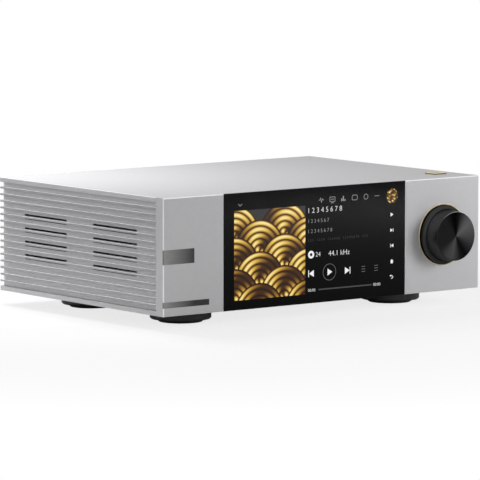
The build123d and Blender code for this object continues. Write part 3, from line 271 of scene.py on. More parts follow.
def ribbed_finish():
    """Painted light and shade on the ribs: darker fin faces, a painted highlight along
    each fin's top edge, grooves lighter at their foot and shaded under the fin above,
    brighter upward faces, and painted shade on the window walls.

    The tones follow the depth from the side's face and the height within a row, which runs
    from one fin's top edge to the next. Rows are counted from an edge below the whole side.
    Each brightness is a share of the blasted tone.
    """
    # Painted light and shade: darker fin faces, a painted highlight on each fin's top edge, and
    # painted shade inside the windows.
    face_shade_share, edge_highlight_share, window_shade_share = 0.72, 1.75, 0.1
    # Painted light and shade in the grooves: lighter at the foot, shaded under the fin above,
    # brightest on upward faces.
    groove_foot_light_share, groove_top_shade_share, upward_light_share = 1.25, 0.95, 1.7
    edge_height, end_margin = 0.3 * mm, 1 * mm
    face_depth, wall_depth = 0.05 * mm, 3.05 * mm
    material, shader, tree, tone = blasted("ribbed_aluminium")
    low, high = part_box("right_side_panel")
    first_top, pitch = fin_rows()
    place = split(tree, object_place(tree))
    depth = work_out(tree, "SUBTRACT", high.x, work_out(tree, "ABSOLUTE", place["X"]))
    past_face = work_out(tree, "GREATER_THAN", depth, face_depth)
    past_wall = work_out(tree, "GREATER_THAN", depth, wall_depth)
    along = work_out(tree, "SUBTRACT", place["Y"], (low.y + high.y) / 2)
    half_length = (high.y - low.y) / 2 - end_margin
    between_ends = work_out(tree, "LESS_THAN", work_out(tree, "ABSOLUTE", along), half_length)
    in_window = work_out(tree, "MULTIPLY", past_wall, between_ends)
    upward = work_out(tree, "GREATER_THAN", facing(tree)["Z"], 0.7)
    above = work_out(tree, "SUBTRACT", place["Z"], first_top - 10 * pitch)
    row_share = work_out(tree, "FRACT", work_out(tree, "DIVIDE", above, pitch))
    groove_end = 1.0 - fin_height / pitch
    low_groove = to_range(tree, row_share, 0.0, groove_end, groove_foot_light_share, groove_top_shade_share)
    groove = blend(tree, upward, low_groove, upward_light_share)
    # A painted highlight along the top of each fin's face.
    edge_highlight = work_out(tree, "GREATER_THAN", row_share, 1.0 - edge_height / pitch)
    outside = blend(tree, past_face, blend(tree, edge_highlight, face_shade_share, edge_highlight_share), groove)
    # Painted shade on the walls inside the windows.
    scale_tone(tree, shader, tone, blend(tree, in_window, outside, window_shade_share))
    return material


def inlay_finish():
    """Brushed grey plate, brushed along X and darker towards its right end."""
    low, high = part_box("upper_inlay_plate")
    material, shader, tree = plain_finish("brushed_inlay", (0.2, 0.2, 0.2), metallic=0.3,
                                          roughness=0.42, Specular_IOR_Level=0.3)
    hairs = noise(tree, object_place(tree, (0.03, 1, 1)), 0.18 * mm, 3.0)
    fade = to_range(tree, split(tree, object_place(tree))["X"], low.x, high.x, 0.0, 1.0)
    tone = two_colours(tree, fade, (0.28, 0.28, 0.275), (0.035, 0.035, 0.036))
    scale_tone(tree, shader, tone, to_range(tree, hairs, 0.2, 0.8, 0.75, 1.25))
    add_bump(tree, shader, hairs, 0.006 * mm)
    return material


def glass_finish():
    """Black glass with an even, dark gloss and a trace of haze."""
    material, shader, tree = plain_finish("black_glass", (0.003, 0.003, 0.0032), roughness=0.08,
                                          Specular_IOR_Level=0.06)
    haze = noise(tree, object_place(tree), 30 * mm, 3.0)
    feed(tree, shader, Roughness=to_range(tree, haze, 0.3, 0.7, 0.07, 0.11))
    return material


def gold_finish(name, colour):
    """Satin gold plate."""
    return grained(name, colour, 0.15 * mm, 0.003 * mm, 0.34, tint_share=0.05, metallic=1.0)


def label_finish():
    """A gold square frame round a darker field, centred on the label, with painted shade on its
    upright sides.
    """
    low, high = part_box("top_label")
    frame_width = 2.0 * mm
    material, shader, tree = plain_finish("label_gold", (0.6, 0.45, 0.15), metallic=0.8,
                                          roughness=0.3)
    place = split(tree, object_place(tree, shift=middle("top_label")))
    reaches = [work_out(tree, "ABSOLUTE", place[axis]) for axis in "XY"]
    reach = work_out(tree, "MAXIMUM", *reaches)
    inside = work_out(tree, "LESS_THAN", reach, (high.x - low.x) / 2 - frame_width)
    hairs = noise(tree, object_place(tree, (1, 0.05, 1)), 0.2 * mm)
    gold = two_colours(tree, hairs, (0.62, 0.46, 0.12), (0.78, 0.62, 0.24))
    field = two_colours(tree, hairs, (0.10, 0.095, 0.08), (0.16, 0.15, 0.12))
    # Painted shade: the label's upright sides are a darker gold.
    shaded_side = work_out(tree, "LESS_THAN", facing(tree)["Z"], 0.5)
    lid = two_colours(tree, inside, gold, field)
    feed(tree, shader, Base_Color=two_colours(tree, shaded_side, lid, (0.22, 0.17, 0.06)))
    add_bump(tree, shader, hairs, 0.004 * mm)
    return material


# Finishes of the moving and small pieces

def spun_finish():
    """Black anodised aluminium turned on a lathe.

    Grooves round the axis stretch its gloss. The flat face has a painted sunray sheen, wedges
    by angle between a full tone and almost none, which turn with the knob. The rim has a
    painted highlight that brightens with the cosine of the angle from one turn, and the foot
    is darker than the side as painted shade.
    """
    foot_depth, rim_depth, face_depth, rim_highlight_turn = 4.5 * mm, 0.3 * mm, 0.02 * mm, 0.8
    material, shader, tree = plain_finish("spun_black_aluminium", (0.03, 0.03, 0.031), metallic=1.0,
                                          roughness=0.3, Anisotropic=0.8,
                                          Specular_Tint=(0.45, 0.45, 0.45))
    tangent = new_node(tree, "ShaderNodeTangent", direction_type="UV_MAP", uv_map="turning")
    feed(tree, shader, Tangent=tangent.outputs["Tangent"])
    turning = new_node(tree, "ShaderNodeUVMap", uv_map="turning").outputs["UV"]
    turn_share = split(tree, turning)["X"]
    # Painted sheen: the face's sunray wedges are drawn by angle and turn with the knob.
    painted_sheens = ((0, 0.64), (35, 1.0), (50, 0.78), (64, 0.38), (78, 0.06), (92, 0.0), (105, 0.01),
              (130, 0.12), (210, 0.14), (235, 0.5), (255, 0.66), (285, 0.08), (303, 0.02),
              (330, 0.25), (360, 0.64))
    painted_wedges = colour_ramp(tree, turn_share, [(angle / 360, (sheen,) * 3) for angle, sheen in painted_sheens])
    rings = noise(tree, vector_math(tree, "MULTIPLY", turning, (0, 1, 0)), 0.004)
    ridge = to_range(tree, rings, 0.3, 0.7, 0.85, 1.15)
    black, bright = (0.0, 0.0, 0.0), (0.085, 0.085, 0.087)
    side_tone = two_colours(tree, ridge, black, bright)
    # Painted shade: the foot beside the panel is darker.
    foot_shade_tone = two_colours(tree, ridge, black, (0.042, 0.042, 0.043))
    face_sheen_tone = two_colours(tree, painted_wedges, (0.001, 0.001, 0.001), bright)
    # Painted highlight on the rim, brightest at one turn.
    turn = work_out(tree, "MULTIPLY", turn_share, math.tau)
    from_brightest = work_out(tree, "COSINE", work_out(tree, "SUBTRACT", turn, rim_highlight_turn))
    rim_highlight_share = to_range(tree, from_brightest, 0.0, 1.0, 0.0, 1.0)
    rim_highlight_tone = two_colours(tree, rim_highlight_share, (0.04, 0.04, 0.04), (0.6, 0.6, 0.6))
    depth = split(tree, object_place(tree))["Y"]
    on_foot = work_out(tree, "GREATER_THAN", depth, front_y - foot_depth)
    on_rim = work_out(tree, "LESS_THAN", depth, knob_low.y + rim_depth)
    on_face = work_out(tree, "LESS_THAN", depth, knob_low.y + face_depth)
    tone = two_colours(tree, on_foot, side_tone, foot_shade_tone)
    tone = two_colours(tree, on_rim, tone, rim_highlight_tone)
    feed(tree, shader, Base_Color=two_colours(tree, on_face, tone, face_sheen_tone))
    return material


def wound_finish():
    """Dark tape wound round a ring: narrow overlapping turns by angle."""
    turn_count = 48
    material, shader, tree = plain_finish("wound_tape", (0.05, 0.045, 0.04), roughness=0.35)
    place = split(tree, object_place(tree, shift=middle("transformer")))
    angle = work_out(tree, "ARCTAN2", place["Y"], place["X"])
    turns = work_out(tree, "FRACT", work_out(tree, "MULTIPLY", angle, turn_count / math.tau))
    tone = two_colours(tree, turns, (0.02, 0.018, 0.016), (0.09, 0.075, 0.05))
    feed(tree, shader, Base_Color=tone)
    add_bump(tree, shader, turns, 0.3 * mm)
    return material


def board_finish():
    """Green solder mask with thin lighter tracks."""
    material, shader, tree = plain_finish("solder_mask", (0.01, 0.05, 0.025), roughness=0.3)
    inputs = {"Vector": object_place(tree), "Scale": 1 / (9 * mm), "Mortar Size": 0.03,
              "Color1": (0.008, 0.045, 0.022), "Color2": (0.006, 0.036, 0.018),
              "Mortar": (0.03, 0.13, 0.06)}
    cells = new_node(tree, "ShaderNodeTexBrick", inputs, offset=0.37, squash=1.7)
    feed(tree, shader, Base_Color=cells.outputs["Color"])
    return material


def metal_inside(node, name, metal, half_size, roundness, raised=0.0):
    """A black socket whose pieces inside an outline, above its floor, are bare contacts.

    The outline is |x|^n + |z|^n = 1 over the half sizes: an oval at 2 and nearly a box at 8.
    """
    contact_depth = 16.9 * mm
    material, shader, tree = plain_finish(name, black_plastic, roughness=0.45)
    x, _, z = middle(node)
    place = split(tree, object_place(tree, shift=(x, 0, z + raised)))
    shares = [work_out(tree, "DIVIDE", place[axis], half) for axis, half in zip("XZ", half_size)]
    powers = [work_out(tree, "POWER", work_out(tree, "ABSOLUTE", share), roundness)
              for share in shares]
    inside = work_out(tree, "LESS_THAN", work_out(tree, "ADD", *powers), 1.0)
    above_floor = work_out(tree, "GREATER_THAN", place["Y"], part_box(node)[1].y - contact_depth)
    contact = work_out(tree, "MULTIPLY", inside, above_floor)
    grain = noise(tree, object_place(tree), 0.3 * mm)
    shell = two_colours(tree, grain, *tones(black_plastic, 0.2))
    feed(tree, shader, Base_Color=two_colours(tree, contact, shell, metal), Metallic=contact,
         Roughness=to_range(tree, contact, 0, 1, 0.45, 0.25))
    add_bump(tree, shader, grain, 0.01 * mm)
    return material


def port_finish(node):
    """A data port: a bright nickel rim over a dark moulding that starts behind the rim."""
    nickel, moulding, rim_depth = (0.58, 0.57, 0.54), (0.035, 0.035, 0.037), 0.9 * mm
    material, shader, tree = plain_finish(node + "_nickel", nickel, metallic=1.0, roughness=0.3)
    rim_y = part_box(node)[1].y - rim_depth
    on_rim = work_out(tree, "GREATER_THAN", split(tree, object_place(tree))["Y"], rim_y)
    grain = noise(tree, object_place(tree), 0.4 * mm)
    rim = two_colours(tree, grain, *tones(nickel, 0.07))
    feed(tree, shader, Base_Color=two_colours(tree, on_rim, moulding, rim), Metallic=on_rim,
         Roughness=to_range(tree, on_rim, 0, 1, 0.5, 0.3))
    add_bump(tree, shader, grain, 0.003 * mm)
    return material


def barrel_height(node):
    """The height of a socket's barrel: the middle of what stands past the rear panel."""
    places = mesh_points(nodes[node].data)
    heights = places[places[:, 1] > panel_high.y + 3 * mm, 2]
    return (heights.min() + heights.max()) / 2


def phono_finish(node, ring_colour):
    """A gold barrel with a coloured ring round its bore, on a black block."""
    ring_radius, barrel_radius, ring_depth = 3.1 * mm, 4.3 * mm, 0.2 * mm
    low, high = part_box(node)
    material, shader, tree = plain_finish(node + "_gold", socket_gold, roughness=0.25)
    centre = ((low.x + high.x) / 2, 0, barrel_height(node))
    place = split(tree, object_place(tree, shift=centre))
    squares = [work_out(tree, "MULTIPLY", place[axis], place[axis]) for axis in "XZ"]
    reach = work_out(tree, "SQRT", work_out(tree, "ADD", *squares))
    at_end = work_out(tree, "GREATER_THAN", place["Y"], high.y - ring_depth)
    ring = work_out(tree, "MULTIPLY", work_out(tree, "LESS_THAN", reach, ring_radius), at_end)
    past_panel = work_out(tree, "GREATER_THAN", place["Y"], panel_high.y - 0.1 * mm)
    beside_barrel = work_out(tree, "GREATER_THAN", reach, barrel_radius)
    on_collar = work_out(tree, "MULTIPLY", past_panel, beside_barrel)
    barrel = work_out(tree, "SUBTRACT", past_panel, on_collar)
    hairs = noise(tree, object_place(tree, (1, 0.1, 1)), 0.25 * mm)
    gold = two_colours(tree, hairs, (0.62, 0.45, 0.16), (0.78, 0.6, 0.27))
    dark = two_colours(tree, hairs, black_plastic, (0.035, 0.035, 0.036))
    body = two_colours(tree, barrel, dark, gold)
    feed(tree, shader, Base_Color=two_colours(tree, ring, body, ring_colour),
         Metallic=work_out(tree, "SUBTRACT", barrel, ring))
    add_bump(tree, shader, hairs, 0.004 * mm)
    return material


def lit_finish(name, colour):
    """A lit part of the display: it gives its own light and has the glass's gloss."""
    return plain_finish(name, (0.01, 0.01, 0.01), roughness=0.1, Specular_IOR_Level=0.1,
                        Emission_Color=colour, Emission_Strength=1.0)


# Surfaces worked out with numpy

def add_object(name, data):
    """A new object in the scene."""
    made = bpy.data.objects.new(name, data)
    bpy.context.scene.collection.objects.link(made)
    return made


def new_piece(name, places, faces, material, body, smooth=False):
    """A mesh piece from its points and faces, riding on a body."""
    mesh = bpy.data.meshes.new(name)
    mesh.from_pydata(places, [], faces)
    mesh.update()
    if smooth:
        mesh.shade_smooth()
    mesh.materials.append(material)
    piece = add_object(name, mesh)
    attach(piece, body)
    return piece


def join_solids(solids):
    """Several (points, faces) as one, each with its faces' numbers carried on."""
    places, faces, start = [], [], 0
    for points, polygons in solids:
        places.append(points)
        faces.extend([[start + i for i in polygon] for polygon in polygons])
        start += len(points)
    return np.concatenate(places), faces


def stand_on(outline, face):
    """An outline's points just below a face and again above it, as high as a mark is.

    The outline is in millimetres, across and up on the face.
    """
    origin, across, up = face
    normal = np.cross(across, up)
    level = origin + mm * (outline[:, :1] * across + outline[:, 1:] * up)
    return level - mark_sink * normal, level + mark_height * normal


def plaque(outline, face):
    """A flat closed prism: the outline, counter-clockwise, carried up off the face."""
    count = len(outline)
    turn = np.arange(count)
    after = np.roll(turn, -1)
    sides = np.stack([turn, after, after + count, turn + count], 1).tolist()
    lid, base = (turn + count).tolist(), turn[::-1].tolist()
    return np.concatenate(stand_on(outline, face)), sides + [lid, base]


def hoop(outer, inner, face):
    """A flat closed ring between two outlines of as many points, carried up off the face."""
    count = len(outer)
    turn = np.arange(count)
    after = np.roll(turn, -1)
    rows = [0, count, 3 * count, 2 * count, 0]
    faces = []
    for first, second in zip(rows[:-1], rows[1:]):
        quads = [turn + first, after + first, after + second, turn + second]
        faces += np.stack(quads, 1).tolist()
    return np.concatenate([*stand_on(outer, face), *stand_on(inner, face)]), faces


def circle(x, z, radius, count=48, start=0.0, turn=math.tau):
    """Points round a circle: (x + r cos a, z + r sin a)."""
    whole = abs(turn - math.tau) < 1e-9
    angle = start + np.linspace(0, turn, count, endpoint=not whole)
    return np.stack([x + radius * np.cos(angle), z + radius * np.sin(angle)], 1)


def bar(x0, x1, z, height, corner_share=0.5):
    """A bar with round corners, counter-clockwise from its lower right corner."""
    corner_points = 6
    radius = corner_share * height
    left, right = x0 + radius, x1 - radius
    low, high = z - height / 2 + radius, z + height / 2 - radius
    corners = ((right, low, -0.25), (right, high, 0.0), (left, high, 0.25), (left, low, 0.5))
    return np.concatenate([circle(x, y, radius, corner_points, share * math.tau, math.tau / 4)
                           for x, y, share in corners])


def stroke(points, width):
    """A line of even width: each point is moved to both sides along the mean of its normals."""
    line = np.array(points, float)
    runs = np.diff(line, axis=0)
    runs /= np.linalg.norm(runs, axis=1, keepdims=True)
    normals = np.stack([-runs[:, 1], runs[:, 0]], 1)
    at_points = np.concatenate([normals[:1], (normals[:-1] + normals[1:]) / 2, normals[-1:]])
    at_points /= (at_points ** 2).sum(1, keepdims=True)
    left = line + at_points * width / 2
    right = line - at_points * width / 2
    return np.concatenate([right, left[::-1]])


def ring_quads(rings, count):
    """Faces from ring to ring, where the points of each ring follow those of the last."""
    turn = np.arange(count)
    after = np.roll(turn, -1)
    steps = np.arange(rings - 1)[:, None] * count
    quads = [turn + steps, turn + steps + count, after + steps + count, after + steps]
    return np.stack(quads, 2).reshape(-1, 4).tolist()


def face_corners(*corners):
    """The (u, v) of each face's corners, where each corner has a u and a v for all faces."""
    pairs = [np.stack(np.broadcast_arrays(u, v), -1) for u, v in corners]
    return np.stack(pairs, -2).reshape(-1, 2)


def turned(name, profile, material, body):
    """A closed surface of revolution about the knob's axis.

    A point is (x + r cos a, y, z + r sin a), with (r, y) along the profile, which starts and
    ends on the axis. The map "turning" holds the share of the turn and the length along the
    profile over its whole length.
    """
    count = 160
    radii, depths = np.array(profile).T
    rings = len(radii) - 2
    angle = np.linspace(0, math.tau, count, endpoint=False)
    ring_x = knob_x + np.outer(radii[1:-1], np.cos(angle))
    ring_z = knob_z + np.outer(radii[1:-1], np.sin(angle))
    ring_y = np.repeat(depths[1:-1, None], count, axis=1)
    places = np.stack([ring_x, ring_y, ring_z], 2).reshape(-1, 3)
    poles = np.array([(knob_x, depths[0], knob_z), (knob_x, depths[-1], knob_z)])
    turn = np.arange(count)
    after = np.roll(turn, -1)
    first_pole, last_pole = rings * count, rings * count + 1
    last_ring = (rings - 1) * count
    start_fan = np.stack([np.full(count, first_pole), turn, after], 1)
    end_fan = np.stack([turn + last_ring, np.full(count, last_pole), after + last_ring], 1)
    faces = start_fan.tolist() + ring_quads(rings, count) + end_fan.tolist()
    piece = new_piece(name, np.concatenate([places, poles]), faces, material, body,
                      smooth=True)
    length = np.concatenate([[0], np.cumsum(np.hypot(np.diff(radii), np.diff(depths)))])
    along = length / length[-1]
    left = turn / count
    right, between = left + 1 / count, left + 0.5 / count
    here, beyond = along[1:-2, None], along[2:-1, None]
    uv = np.concatenate([
        face_corners((between, along[0]), (left, along[1]), (right, along[1])),
        face_corners((left, here), (left, beyond), (right, beyond), (right, here)),
        face_corners((left, along[-2]), (between, along[-1]), (right, along[-2]))])
    layer = piece.data.uv_layers.new(name="turning")
    layer.data.foreach_set("uv", uv.astype(np.float32).ravel())
    return piece


# The knob, turned from one bar

def rounded_edge(corner, start, end, radius, count=5):
    """Points of a small rounding at a profile's right-angled corner, from start to end side."""
    corner, start, end = np.array(corner), np.array(start), np.array(end)
    to_start = (start - corner) / np.linalg.norm(start - corner)
    to_end = (end - corner) / np.linalg.norm(end - corner)
    centre = corner + radius * (to_start + to_end)
    angle = np.linspace(0, math.pi / 2, count)[:, None]
    return centre - radius * (np.cos(angle) * to_end + np.sin(angle) * to_start)


def make_knob(material):
    """Flange, concave sweep, gently tapered side and a flat face, hollow behind."""
    rim_rounding, flange_rounding = 0.35 * mm, 0.15 * mm
    flange_radius = (knob_high.x - knob_low.x) / 2
    face_y, back_y = knob_low.y, knob_high.y
    flange_front = front_y - 2.0 * mm
    root_front = front_y - 4.0 * mm
    root_radius = flange_radius - 2.65 * mm
    face_radius = root_radius - 0.7 * mm
    hollow_radius = face_radius - 3.3 * mm
    hollow_front = face_y + 3.0 * mm
    sweep = np.linspace(0, math.pi / 2, 9)[1:-1]
    sweep_points = np.stack([flange_radius - (flange_radius - root_radius) * np.sin(sweep),
                             root_front + (flange_front - root_front) * np.cos(sweep)], 1)
    rim = rounded_edge((face_radius, face_y), (face_radius, root_front), (0, face_y),
                       rim_rounding)
    bevel = rounded_edge((flange_radius, flange_front), (flange_radius, back_y),
                         (root_radius, flange_front), flange_rounding, 4)
    face_rings = np.linspace(face_radius - rim_rounding, 0, 14)[1:-1]
    profile = [(0, hollow_front), (hollow_radius, hollow_front), (hollow_radius, back_y),
               (flange_radius, back_y), *bevel, *sweep_points, (root_radius, root_front), *rim,
               *[(radius, face_y) for radius in face_rings], (0, face_y)]
    piece = turned("knob_turned", profile, material, "knob")
    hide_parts("knob")


# What the display shows, on the glass

# A face is its origin and its directions across and up.
glass_face = (np.array([0, glass_y, 0]), np.array([1.0, 0, 0]), np.array([0, 0, 1.0]))


def scallops(across, up, radius, ridges=5, last_row=None):
    """Brightness of overlapping fans, each with a few rounded ridges, and what they cover.

    Fans of one radius stand in rows half a radius apart, every second row shifted by a
    radius. A point belongs to the lowest fan that covers it, and its brightness is the
    ridge wave of its distance from that fan's foot, times a slow sheen by angle. It fades
    out over the last fourteenth of the radius.
    """
    value = np.zeros_like(across)
    taken = np.zeros(across.shape, bool)
    first_row = int(np.floor(up.min() / (radius / 2))) - 2
    if last_row is None:
        last_row = int(np.ceil(up.max() / (radius / 2)))
    for row in range(first_row, last_row + 1):
        shift = radius if row % 2 else 0.0
        from_foot_x = across - shift - np.round((across - shift) / (2 * radius)) * 2 * radius
        from_foot_z = up - row * radius / 2
        share = np.hypot(from_foot_x, from_foot_z) / radius
        mine = (share <= 1) & ~taken
        angle = np.arctan2(from_foot_z, from_foot_x)
        ridge = np.clip(np.sin((share * ridges % 1) * math.pi), 0, 1) ** 0.8
        sheen = 0.6 + 0.4 * np.sin(2.2 * angle + 0.7 * row + 3 * share)
        edge = np.clip((1 - share) * 14, 0, 1)
        value[mine] = (ridge * sheen * edge)[mine]
        taken |= mine
    return np.clip(value, 0, 1), taken


def picture_finish():
    """Gold on near-black, lit from behind: the piece's own brightness picks the tone."""
    material, shader, tree = lit_finish("picture_gold", (1, 1, 1))
    bright, ground = [new_node(tree, "ShaderNodeAttribute", attribute_name=name).outputs["Fac"]
                      for name in ("brightness", "ground")]
    golds = colour_ramp(tree, bright, ((0.0, (0.006, 0.003, 0.002)), (0.2, (0.06, 0.02, 0.004)),
                                       (0.45, (0.36, 0.19, 0.02)), (0.7, (0.78, 0.53, 0.1)),
                                       (0.88, (0.95, 0.8, 0.38)), (1.0, (1.0, 0.95, 0.8))))
    feed(tree, shader, Emission_Color=two_colours(tree, ground, golds, (0.03, 0.03, 0.031)))
    return material


def add_values(piece, name, values):
    """One number at each point of a piece."""
    layer = piece.data.attributes.new(name, "FLOAT", "POINT")
    layer.data.foreach_set("value", values.astype(np.float32).ravel())


def make_picture(material):
    """The picture: a thin slab whose front is a fine grid carrying the scallops' brightness."""
    count, fan_radius, level = 200, 21 * mm, 0.88
    left, right, bottom, top = -77.0 * mm, -17.3 * mm, 16.4 * mm, 75.8 * mm
    grid_x, grid_z = np.meshgrid(np.linspace(left, right, count), np.linspace(bottom, top, count))
    grid_y = np.full_like(grid_x, glass_y - mark_height)
    front = np.stack([grid_x, grid_y, grid_z], 2).reshape(-1, 3)
    back = np.insert(block(left, right, bottom, top), 1, glass_y + mark_sink, axis=1)
    index = np.arange(count * count).reshape(count, count)
    quads = np.stack([index[:-1, :-1], index[:-1, 1:], index[1:, 1:], index[1:, :-1]], 2)
    faces = quads.reshape(-1, 4).tolist()
    first = count * count
    for i, row in enumerate((index[0], index[:, -1], index[-1, ::-1], index[::-1, 0])):
        faces.append([first + i, first + (i + 1) % 4, *row[::-1].tolist()])
    faces.append([first + 3, first + 2, first + 1, first])
    piece = new_piece("display_picture", np.concatenate([front, back]), faces, material,
                      "case")
    bright, covered = scallops(grid_x - left, grid_z - bottom, fan_radius, last_row=4)
    back_values = np.zeros(len(back))
    add_values(piece, "brightness", level * np.concatenate([bright.ravel(), back_values]))
    add_values(piece, "ground", np.concatenate([1.0 - covered.ravel(), back_values]))


def make_gold_disc(material):
    """The small round picture at the upper right: rings of points round a middle point."""
    centre_x, centre_z, radius = 57.5 * mm, 78.0 * mm, 4.9 * mm
    turns, rings, fan_radius, level = 72, 24, 4.4 * mm, 0.9
    angle = np.linspace(0, math.tau, turns, endpoint=False)
    reach = np.linspace(0, radius, rings + 1)[1:]
    x = centre_x + np.outer(reach, np.cos(angle))
    z = centre_z + np.outer(reach, np.sin(angle))
    front = np.stack([x, np.full_like(x, glass_y - mark_height), z], 2).reshape(-1, 3)
    back = front[-turns:] + np.array([0, mark_height + mark_sink, 0])
    places = np.concatenate([front, back, [(centre_x, glass_y - mark_height, centre_z)]])
    turn = np.arange(turns)
    tip = np.full(turns, len(places) - 1)
    fan = np.stack([tip, turn, np.roll(turn, -1)], 1).tolist()
    lid = (turn[::-1] + rings * turns).tolist()
    piece = new_piece("display_disc", places, ring_quads(rings + 1, turns) + fan + [lid],
                      material, "case")
    bright, _ = scallops(places[:, 0] - centre_x, places[:, 2] - centre_z, fan_radius, ridges=2)
    add_values(piece, "brightness", level * bright)
    add_values(piece, "ground", np.zeros(len(places)))


def lettering(text, left, z, height):
    """Numbers and units in the plain built-in font, as closed solids on the glass.

    The place and the height are in millimetres. The font's outline lies across and up, and
    its thickness runs outwards from the glass. Its strokes are made a little thinner.
    """
    curve = bpy.data.curves.new("lettering", "FONT")
    curve.body = text
    curve.extrude = 0.5
    curve.offset = -0.014
    curve.resolution_u = 4
    written = add_object("lettering", curve)
    bpy.context.view_layer.update()
    shown = written.evaluated_get(bpy.context.evaluated_depsgraph_get())
    mesh = bpy.data.meshes.new_from_object(shown)
    points = mesh_points(mesh).round(5)
    polygons = [list(polygon.vertices) for polygon in mesh.polygons]
    bpy.data.objects.remove(written)
    bpy.data.curves.remove(curve)
    bpy.data.meshes.remove(mesh)
    points, same = np.unique(points, axis=0, return_inverse=True)
    same = same.ravel()
    low, high = points.min(0), points.max(0)
    scale = height * mm / (high[1] - low[1])
    x = left * mm + (points[:, 0] - low[0]) * scale
    up = z * mm + (points[:, 1] - (low[1] + high[1]) / 2) * scale
    depth = glass_y + mark_sink - (points[:, 2] + 0.5) * (mark_height + mark_sink)
    faces = [same[polygon].tolist() for polygon in polygons]
    return np.stack([x, depth, up], 1), [face for face in faces if len(set(face)) == len(face)]


def flat(shapes):
    """Closed prisms on the glass from their outlines."""
    return [plaque(shape, glass_face) for shape in shapes]


def rings_on_glass(pairs):
    """Closed rings on the glass from their outer and inner outlines."""
    return [hoop(outer, inner, glass_face) for outer, inner in pairs]


def pointer(x, z, size, side=1):
    """A play triangle that points right, or left where side is -1."""
    reach, half_height = side * size / 2, 0.58 * size
    points = np.array([(x - reach, z - half_height), (x + reach, z), (x - reach, z + half_height)])
    return points if side > 0 else points[::-1]


def block(x0, x1, z0, z1):
    """A plain rectangle, counter-clockwise."""
    return np.array([(x0, z0), (x1, z0), (x1, z1), (x0, z1)])


def skip(x, z, size, bar_reach, bar_width, bar_height, side=1):
    """A play triangle that points to the side, with an upright bar at its tip."""
    setback, bar_x = side * 0.3, x + side * bar_reach
    return [pointer(x - setback, z, size, side),
            block(bar_x - bar_width / 2, bar_x + bar_width / 2,
                  z - bar_height / 2, z + bar_height / 2)]


def house(x, z, size):
    """A house: a square with a roof."""
    corners = ((-0.7, -1), (0.7, -1), (0.7, 0.1), (1, 0.1), (0, 1), (-1, 0.1), (-0.7, 0.1))
    return np.array([x, z]) + size / 2 * np.array(corners)


def make_marks(name, solids, material, body="case"):
    """One piece from closed solids that lie on a face."""
    places, faces = join_solids(solids)
    new_piece(name, places, faces, material, body)


def touch_row():
    """The side row: play, two skips, a house and the way back."""
    touch_x, small_skip = 57.5, (2.1, 1.1, 0.4, 2.4)
    way_back = ((-1.0, 23.7), (0.4, 23.7), (1.0, 23.1), (1.0, 22.5), (0.4, 21.9), (-0.6, 21.9))
    return flat([pointer(touch_x, 65.3, 2.4), *skip(touch_x, 54.7, *small_skip),
                 *skip(touch_x, 44.2, *small_skip, -1), house(touch_x, 33.5, 2.8),
                 stroke([(touch_x + dx, z) for dx, z in way_back], 0.4),
                 pointer(touch_x - 1.2, 23.7, 1.3, -1)])


def icon_row():
    """The upper row: a wave, a screen on its foot, columns, a card, a dial, a dash and a tick."""
    icon_z = 78.8
    wave_x, screen_x, columns_x, card_x, dial_x = -3.7, 5.8, 15.3, 25.0, 34.7
    wave_line = ((-2.2, 0), (-1.2, 0), (-0.7, 1.3), (0.2, -1.6), (0.8, 0.8), (1.2, 0), (2.2, 0))
    wave = stroke([(wave_x + dx, icon_z + dz) for dx, dz in wave_line], 0.34)
    columns = [block(columns_x + dx, columns_x + dx + 0.9, icon_z - 1.8, icon_z + top)
               for dx, top in ((-2.0, 0.0), (-0.6, 1.6), (0.8, -0.6))]
    dash = bar(42.2, 46.4, icon_z, 0.3)
    foot = bar(screen_x - 1.3, screen_x + 1.3, icon_z - 2.4, 0.4)
    screen_line = bar(screen_x - 1.4, screen_x + 1.4, icon_z, 0.4)
    tick = stroke([(-73.6, 80.2), (-72.0, 78.8), (-70.4, 80.2)], 0.36)
    screen = (bar(screen_x - 2.4, screen_x + 2.4, icon_z, 3.4, 0.15),
              bar(screen_x - 2.05, screen_x + 2.05, icon_z, 2.7, 0.1))
    card = (bar(card_x - 2.4, card_x + 2.4, icon_z, 3.6, 0.3),
            bar(card_x - 2.05, card_x + 2.05, icon_z, 2.9, 0.25))
    dial = (circle(dial_x, icon_z, 1.9), circle(dial_x, icon_z, 1.55))
    return (flat([wave, *columns, dash, foot, screen_line, tick])
            + rings_on_glass([screen, card, dial]))


